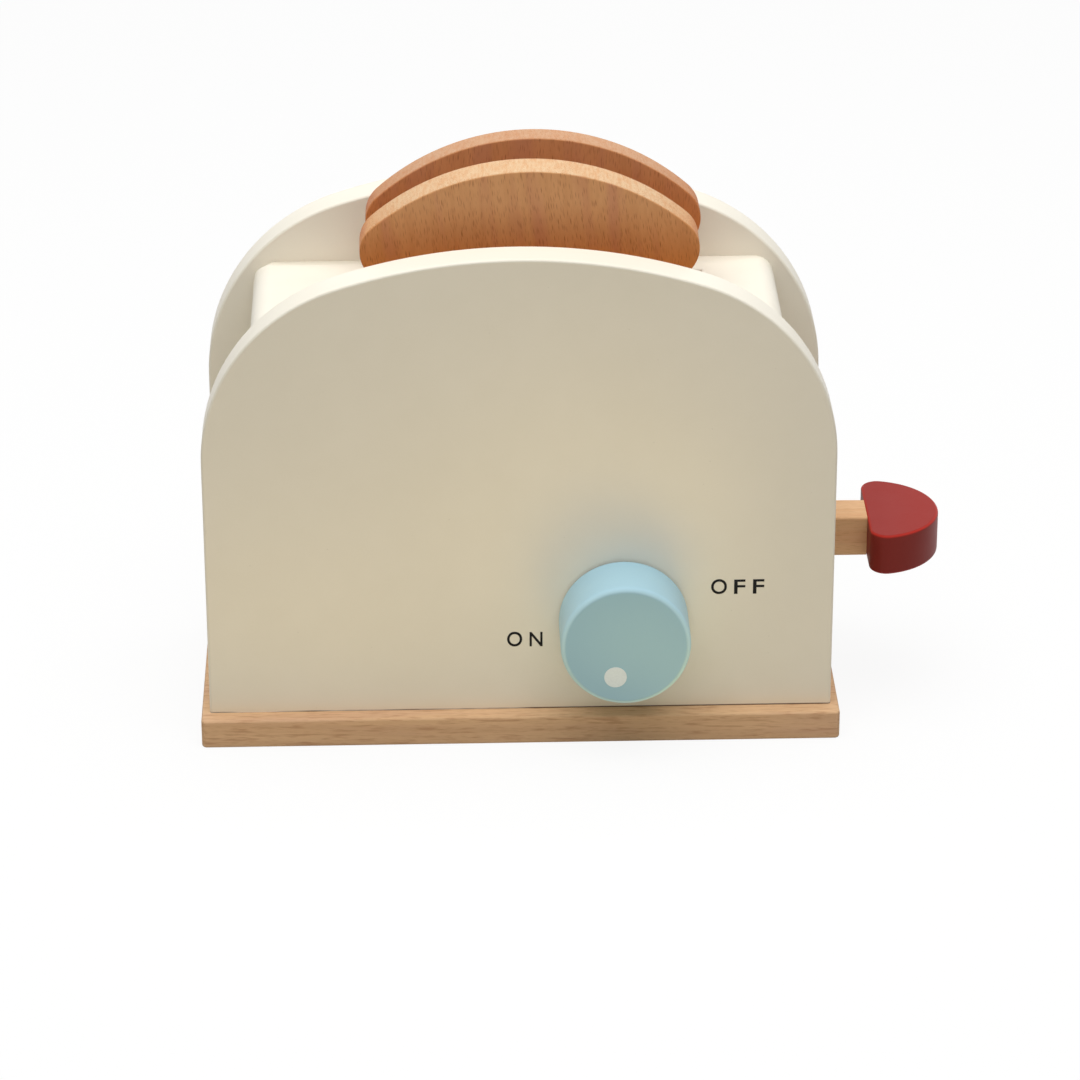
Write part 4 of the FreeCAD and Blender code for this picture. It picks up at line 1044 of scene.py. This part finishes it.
def panel(name, side, node, bore):
    """An arch panel; side is -1 for the front one and 1 for the back one."""
    board = arch().mesh
    bmesh.ops.remove_doubles(board, verts=board.verts, dist=weld)
    if bore:
        hole(board, knob_x, knob_z - base_thick, knob_bore, segments=24)
    fill(board)
    thicken(board, panel_thick)
    bmesh.ops.translate(board, verts=board.verts, vec=(0, 0, -panel_thick / 2))
    rim = ease(board, board_rim, lambda e: in_a_face(e) and not at_foot(e) and not near_bore(e))
    foot = ease(board, foot_rim, lambda e: in_a_face(e) and at_foot(e), segments=2)
    print(name, "rim edges", rim, "foot edges", foot)
    place = (0, side * panel_middle, base_thick)
    finish_piece(name, board, FRONT, place, panel_cream, instead=[node])


panel("front_panel_board", -1, "front_panel", bore=True)
panel("back_panel_board", 1, "back_panel", bore=False)

# %% [markdown]
# ## The body between the panels
#
# Two walls stand on the base board and carry the top board with its bread slots. The top board's
# ends are rounded where they can be seen, beside the panels. A body could be one box with holes
# in it, but the toy is screwed and dowelled from boards, and the joints show at the ends. So each
# board is its own piece. The two slots are chopped square, and each is a millimetre longer than the
# slice that it takes, at both ends. One slice stands a little further right, so its slot does too.

# %% Top board
inner_depth, body_half, top_low, top_thick, top_round = 54.8, 78.0, 116.8, 10.0, 6.0
slot_half, slot_pitch, slot_width = 50.3, 20.5, 14.17
front_shift, back_shift = 3.7, 5.3
top = bmesh.new()
rectangle(top, (-body_half, -inner_depth / 2), (body_half, inner_depth / 2))
for side, shift in ((-1, front_shift), (1, back_shift)):
    slot_low, slot_high = ((side * slot_pitch + reach * slot_width) / 2 for reach in (-1, 1))
    rectangle(top, (shift - slot_half, slot_low), (shift + slot_half, slot_high))
fill(top)
thicken(top, top_thick)


def on_end(edge):
    """True for an edge that runs across one end of the top board."""
    return abs(sum(corner.co.x for corner in edge.verts)) > 2 * body_half - touching


def on_slot(edge):
    """True for an edge on the upper rim of a slot."""
    return at_height(edge, top_thick) and not in_outline(edge, body_half, inner_depth / 2)


ends = ease(top, top_round, lambda e: at_height(e, top_thick) and on_end(e), segments=10)
rims = ease(top, board_rim, on_slot)
print("end edges", ends, "slot rims", rims)
finish_piece(
    "top_board_slots", top, PLAN, (0, 0, top_low), top_cream, instead=["top_board"]
)

# %% [markdown]
# The left wall is a plain board. The right wall has the slot in which the lever moves. The edges of
# both are eased by half a millimetre, enough to catch a little light along the joint with the top
# board.

# %% Walls
wall_thick, wall_height, wall_rim = 10.0, 107.8, 0.5
lever_slot, lever_slot_corner = ((-6.8, 10.7), (6.8, 46.5)), 1.2
for name, side, node in (("left_wall_board", -1, "left_wall"), ("right_wall_board", 1, "right_wall")):
    wall = bmesh.new()
    rectangle(wall, (-inner_depth / 2, 0), (inner_depth / 2, wall_height))
    if side > 0:
        rectangle(wall, *lever_slot, corner=lever_slot_corner, segments=4)
    fill(wall)
    thicken(wall, wall_thick)
    bmesh.ops.translate(wall, verts=wall.verts, vec=(0, 0, -wall_thick / 2))
    print(name, "eased", ease(wall, wall_rim, in_a_face, segments=3))
    place = (side * wall_middle, 0, base_thick)
    finish_piece(name, wall, SIDE, place, wall_cream, instead=[node])

# %% [markdown]
# ## The lever
#
# A square beech bar runs the length of the body, out through the slot in the right wall, and ends in
# the red handle. Two bores let it slide on the guide rods, and two screws from below hold the rests.
# The bores are a tenth of a millimetre wider all round than the rods, as a running fit should be.

# %% Lever arm
arm_left, arm_right, arm_half, arm_low, arm_thick = -66.5, 105.2, 6.4, 42.5, 12.8
rod_x, rod_bore, rest_x = 60.5, 5.2, (-21.5, 30.5)
arm = bmesh.new()
rectangle(arm, (arm_left, -arm_half), (arm_right, arm_half))
for side in (-1, 1):
    hole(arm, side * rod_x, 0, rod_bore, segments=28)
for place_x in rest_x:
    hole(arm, place_x, 0, screw_hole, segments=20)
fill(arm)
thicken(arm, arm_thick)


def is_long(edge):
    """True for the arm's four long edges, which run its whole length."""
    from_x, to_x = (corner.co.x for corner in edge.verts)
    return abs(to_x - from_x) > (arm_right - arm_left) / 2


def under_screw(edge):
    """True for the lower rim of a screw hole."""
    return at_height(edge, 0) and all(
        min(math.hypot(corner.co.x - x, corner.co.y) for x in rest_x) < screw_hole
        for corner in edge.verts
    )


long_edges, sunk = ease(arm, board_rim, is_long), ease(arm, sink, under_screw, segments=1)
print("arm's long edges:", long_edges, "edges of countersinks:", sunk)
finish_piece(
    "lever_bar", arm, PLAN, (0, 0, arm_low), lever_beech,
    body="carriage", instead=["lever_arm"],
)

# %% [markdown]
# The handle is a D seen from above: a flat side against the arm, a round side for the fingers, and
# small corners where they meet. Four strokes draw it. Its rims are rounded more softly than the
# boards' because a hand presses here.

# %% Lever handle
grip_radius, grip_centre, grip_corner, grip_rim = 20.1, 1.8, 5.0, 0.9
corner_y = math.sqrt((grip_radius - grip_corner) ** 2 - (grip_corner - grip_centre) ** 2)
grip_turn = math.degrees(math.atan2(corner_y, grip_corner - grip_centre))
grip = Drawing(0, corner_y).run(0, -corner_y)
grip.swing(grip_corner, -corner_y, 180 - grip_turn, steps=12)
grip.swing(grip_centre, 0, 2 * grip_turn, steps=40)
grip.swing(grip_corner, corner_y, 180 - grip_turn, steps=12)
grip = grip.closed()
thicken(grip, arm_thick)
print("handle rims:", ease(grip, grip_rim, in_a_face, segments=5))
finish_piece(
    "lever_grip", grip, PLAN, (arm_right, 0, arm_low), handle_red,
    body="carriage", instead=["lever_handle"],
)

# %% [markdown]
# ## Two slices of toast
#
# A slice is sawn from a beech board with its grain upright: a crown, a lobe each side, a small hollow
# under each lobe, a straight body and a foot with round corners. Six strokes draw one half. The hollow
# turns the other way round, so its angle is negative. Because every arc starts where the last one
# ended and shares its tangent, the line flows without a kink, as a band saw and sander leave it.

# %% Slice outline
slice_half, waist_half, slice_height, slice_thick = 49.3, 43.5, 103.2, 9.4
crown_radius, lobe_radius, hollow_radius, foot_radius = 68.9, 10.5, 9.0, 8.0
lobe_x, crown_y = slice_half - lobe_radius, slice_height - crown_radius
lobe_y = crown_y + math.sqrt((crown_radius - lobe_radius) ** 2 - lobe_x**2)
hollow_x = waist_half + hollow_radius
hollow_y = lobe_y - math.sqrt((lobe_radius + hollow_radius) ** 2 - (hollow_x - lobe_x) ** 2)
lobe_top = math.degrees(math.atan2(lobe_y - crown_y, lobe_x))
lobe_low = math.degrees(math.atan2(hollow_y - lobe_y, hollow_x - lobe_x))


def toast():
    """The outline of a slice, standing on y = 0."""
    half = Drawing(0, 0).run(waist_half - foot_radius, 0)
    half.swing(waist_half - foot_radius, foot_radius, 90, steps=10)
    half.run(waist_half, hollow_y)
    half.swing(hollow_x, hollow_y, lobe_low, steps=8)
    half.swing(lobe_x, lobe_y, lobe_top - lobe_low, steps=28)
    half.swing(0, crown_y, 90 - lobe_top, steps=18)
    return half.mirrored().closed()


print("lobe centre", round(lobe_x, 1), round(lobe_y, 1), "hollow at", round(hollow_y, 1))

# %% [markdown]
# The two slices lean apart by a few degrees, because the grooves they stand in are slanted. They are
# not quite in line with each other either. The lean is part of the mesh: each slice's own board is
# turned about its foot before it is set on the rests.

# %% Slices
slice_lean, slice_foot_y, slice_low, slice_rim = 3.5, 6.37, 69.3, 0.5
for name, node, body, side, shift, finish in (
    ("toast_front", "bread_slice_front", "front_bread", -1, front_shift, front_toast_beech),
    ("toast_back", "bread_slice_back", "back_bread", 1, back_shift, back_toast_beech),
):
    bread = toast()
    thicken(bread, slice_thick)
    bmesh.ops.translate(bread, verts=bread.verts, vec=(0, 0, -slice_thick / 2))
    print(name, "rim:", ease(bread, slice_rim, in_a_face, segments=3))
    lean = Matrix.Rotation(math.radians(-side * slice_lean), 4, "X") @ FRONT
    place = (shift, side * slice_foot_y, slice_low)
    finish_piece(name, bread, lean, place, finish, body=body, instead=[node])

# %% [markdown]
# ## The knob
#
# The knob is turned on a lathe, and `spin` is the lathe: a half section is drawn from the screw's bore
# round the back, the side and the rounded front rim to the middle of the face, and spun once about
# its axis. A cylinder with a bevel would look nearly the same, but would have no bore for its screw.
# Three strokes lay out the bore and the back, and two swings round the rims of the side.

# %% Knob
knob_radius, knob_deep, knob_rim, knob_back_rim = 19.1, 18.1, 1.8, 0.6
pilot_deep, pilot_half = 11, 2
knob_back_y = -38.7


def lathe(drawing, steps=96):
    """Spins a half section about the drawing's Y axis into a closed solid."""
    mesh = drawing.mesh
    bmesh.ops.remove_doubles(mesh, verts=mesh.verts, dist=weld)
    bmesh.ops.spin(
        mesh, geom=mesh.verts[:] + mesh.edges[:], cent=(0, 0, 0), axis=(0, 1, 0),
        angle=2 * math.pi, steps=steps, use_merge=True, use_duplicate=False,
    )
    bmesh.ops.remove_doubles(mesh, verts=mesh.verts, dist=weld)
    return mesh


section = Drawing(0, -pilot_deep).run(pilot_half, -pilot_deep).run(pilot_half, 0)
section.run(knob_radius - knob_back_rim, 0)
section.swing(knob_radius - knob_back_rim, -knob_back_rim, -90, steps=3)
section.run(knob_radius, knob_rim - knob_deep)
section.swing(knob_radius - knob_rim, knob_rim - knob_deep, -90, steps=7)
section.run(0, -knob_deep)
finish_piece(
    "dial_knob", lathe(section), PLAN, (knob_x, knob_back_y, knob_z), knob_blue,
    body="dial", instead=["knob"],
)

# %% [markdown]
# ## Dot, ON and OFF
#
# The dot on the knob and the two words beside it are printed. Ink lies a few hundredths of a
# millimetre proud of the paint, so each print is a real, very thin plate. The dot rides on the knob
# and turns with it; the words stay on the panel.
#
# The words use Blender's own plain typeface. Each letter is a text object turned into a mesh, then
# stretched to the exact box that it fills on the panel, so spacing is under control letter by letter.
# A small offset makes the strokes bolder before that.

# %% Printed dot
ink_thick = 0.05
dot_radius, dot_left, dot_down = 3.3, 3.07, 9.84
dot = bmesh.new()
bmesh.ops.create_circle(dot, cap_ends=True, radius=dot_radius, segments=48)
thicken(dot, ink_thick)
dot_place = (knob_x - dot_left, knob_back_y - knob_deep, knob_z - dot_down)
finish_piece("knob_dot", dot, FRONT, dot_place, white_ink, body="dial")

# %% Printed letters
panel_face_y = -38.1
letter_weight = 0.011
letter_boxes = (
    ("on_o", "O", (-3.96, 29.80), (0.49, 34.65)),
    ("on_n", "N", (2.69, 29.75), (6.52, 34.50)),
    ("off_o", "O", (56.26, 46.15), (60.91, 51.02)),
    ("off_f1", "F", (63.03, 46.12), (66.35, 50.82)),
    ("off_f2", "F", (68.61, 46.12), (71.93, 50.82)),
)


def print_letter(name, letter, low, high):
    """A letter of ink that fills a box on the panel's face, given by two corners (x, z)."""
    curve = bpy.data.curves.new(name, "FONT")
    curve.body = letter
    curve.offset = letter_weight
    carrier = bpy.data.objects.new(name, curve)
    scene.collection.objects.link(carrier)
    depsgraph = bpy.context.evaluated_depsgraph_get()
    flat = bpy.data.meshes.new_from_object(carrier.evaluated_get(depsgraph))
    bpy.data.objects.remove(carrier)
    bpy.data.curves.remove(curve)
    ink = bmesh.new()
    ink.from_mesh(flat)
    bpy.data.meshes.remove(flat)
    bmesh.ops.remove_doubles(ink, verts=ink.verts, dist=1e-5)
    left, right = (pick(c.co.x for c in ink.verts) for pick in (min, max))
    foot, head = (pick(c.co.y for c in ink.verts) for pick in (min, max))
    bmesh.ops.translate(ink, verts=ink.verts, vec=(-left, -foot, 0))
    fit = ((high[0] - low[0]) / (right - left), (high[1] - low[1]) / (head - foot), 1)
    bmesh.ops.scale(ink, verts=ink.verts, vec=fit)
    thicken(ink, ink_thick)
    place = (low[0], panel_face_y, low[1])
    finish_piece(name, ink, FRONT, place, black_ink, weighted=False)


for letter_row in letter_boxes:
    print_letter(*letter_row)

# %% [markdown]
# ## Inside: springs, rods and rests
#
# Two coil springs push the lever up. A spring is a small circle of wire swept along a helix, and
# `spin` does that as well when each step also climbs: its dvec is the rise per step. The springs are
# shown as they stand with the lever up.

# %% Return springs
wire, coil_radius, coil_turns, coil_steps = 1.0, 3.5, 6, 24
gap_up, stroke = 33.5, 22.0
upright = Matrix.Rotation(math.pi / 2, 4, "X")
for side, where in ((-1, "left"), (1, "right")):
    coil = bmesh.new()
    bmesh.ops.create_circle(coil, cap_ends=True, radius=wire / 2, segments=10, matrix=upright)
    bmesh.ops.translate(coil, verts=coil.verts, vec=(coil_radius, 0, wire / 2))
    rise = (gap_up - wire) / (coil_turns * coil_steps)
    bmesh.ops.spin(
        coil, geom=coil.faces[:], cent=(0, 0, 0), axis=(0, 0, 1), dvec=(0, 0, rise),
        angle=2 * math.pi * coil_turns, steps=coil_turns * coil_steps, use_duplicate=False,
    )
    spring = finish_piece(
        f"spring_{where}", coil, PLAN, (side * rod_x, 0, base_thick), spring_wire,
        instead=[f"return_spring_{where}"], weighted=False,
    )
    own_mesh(spring)

# %% [markdown]
# ## Screws
#
# All the wood screws look alike: a flat countersunk head with a cross recess. One is turned on the
# same lathe as the knob, its recess is pressed in, and copies are set in place and joined, because
# identical screws that never move apart are one piece here as they are one line in a parts list.
# The recess starts as a cross that cutting planes draw on the flat head. The faces inside it are
# extruded, pushed in, and drawn together a little, because a driver's tip is tapered.

# %% Countersunk screw
screw_point = 2.6
recess_arm, recess_width, recess_deep, recess_taper = 1.7, 0.7, 1.0, 0.7


def cut(mesh, point, normal):
    """Cuts every face along a plane, and keeps both halves."""
    every = mesh.verts[:] + mesh.edges[:] + mesh.faces[:]
    bmesh.ops.bisect_plane(mesh, geom=every, dist=0.0001, plane_co=point, plane_no=normal)


def cross_recess(mesh):
    """Presses a cross into the flat face at z = 0 that looks down."""
    for reach in (-recess_arm, -recess_width / 2, recess_width / 2, recess_arm):
        cut(mesh, (reach, 0, 0), (1, 0, 0))
        cut(mesh, (0, reach, 0), (0, 1, 0))
    inside = []
    for face in mesh.faces:
        middle = face.calc_center_median()
        near, far = sorted((abs(middle.x), abs(middle.y)))
        flat = abs(middle.z) < touching and abs(face.normal.z) > 0.9
        if flat and near < recess_width / 2 and far < recess_arm:
            inside.append(face)
    pressed = bmesh.ops.extrude_face_region(mesh, geom=inside)
    pushed = [item for item in pressed["geom"] if isinstance(item, bmesh.types.BMVert)]
    bmesh.ops.translate(mesh, vec=(0, 0, recess_deep), verts=pushed)
    bmesh.ops.scale(mesh, vec=(recess_taper, recess_taper, 1), verts=pushed)


def wood_screw(length):
    """A screw that stands on its head with its point up."""
    shank, head = screw_hole / 2, screw_head / 2
    section = Drawing(0, 0).run(head, 0).run(shank, sink)
    screw = lathe(section.run(shank, length - screw_point).run(0, length), steps=24)
    bmesh.ops.rotate(screw, verts=screw.verts, cent=(0, 0, 0), matrix=upright.to_3x3())
    bmesh.ops.recalc_face_normals(screw, faces=screw.faces[:])
    cross_recess(screw)
    return screw


def set_of_screws(length, places):
    """Copies of one screw, each at its place."""
    one = bpy.data.meshes.new("one_screw")
    model = wood_screw(length)
    model.to_mesh(one)
    model.free()
    together = bmesh.new()
    for place in places:
        before = len(together.verts)
        together.from_mesh(one)
        together.verts.ensure_lookup_table()
        bmesh.ops.translate(together, verts=together.verts[before:], vec=place)
    bpy.data.meshes.remove(one)
    return together


base_screw_long, rest_screw_long = 24.0, 21.8
base_set = set_of_screws(base_screw_long, [(x, y, 0) for x, y in screw_places])
finish_piece(
    "screws_in_base", base_set, PLAN, (0, 0, 0), zinc_steel,
    instead=["base_screws"], weighted=False,
)
rest_set = set_of_screws(rest_screw_long, [(x, 0, 0) for x in rest_x])
finish_piece(
    "screws_in_rests", rest_set, PLAN, (0, 0, arm_low), zinc_steel,
    body="carriage", instead=["rest_screws"], weighted=False,
)

# %% [markdown]
# ## Finishes for the solids that stay
#
# Rods, washers, dowels, the knob's screw and the two rests have the right shape already: they are
# turned or sawn, and hidden in use. They keep their solids and only change their finish. A solid's
# material slots are simply given another material.

# %% New finishes on the solids
kept_finishes = {
    "guide_rod_left": rod_steel,
    "guide_rod_right": rod_steel,
    "knob_washer": zinc_steel,
    "knob_screw": zinc_steel,
    "knob_spacer": white_nylon,
    "rest_left": rest_beech,
    "rest_right": rest_beech,
    "handle_dowel": lever_beech,
    "joint_dowels": rest_beech,
}
for node, finish in kept_finishes.items():
    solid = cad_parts[node]
    for material_slot in solid.material_slots:
        material_slot.material = finish
print("solids with a new finish:", len(kept_finishes))

# %% [markdown]
# ## View transform
#
# The view transform is the plain one, so a colour renders about as it is written.

# %% View transform
scene.view_settings.view_transform = "Standard"
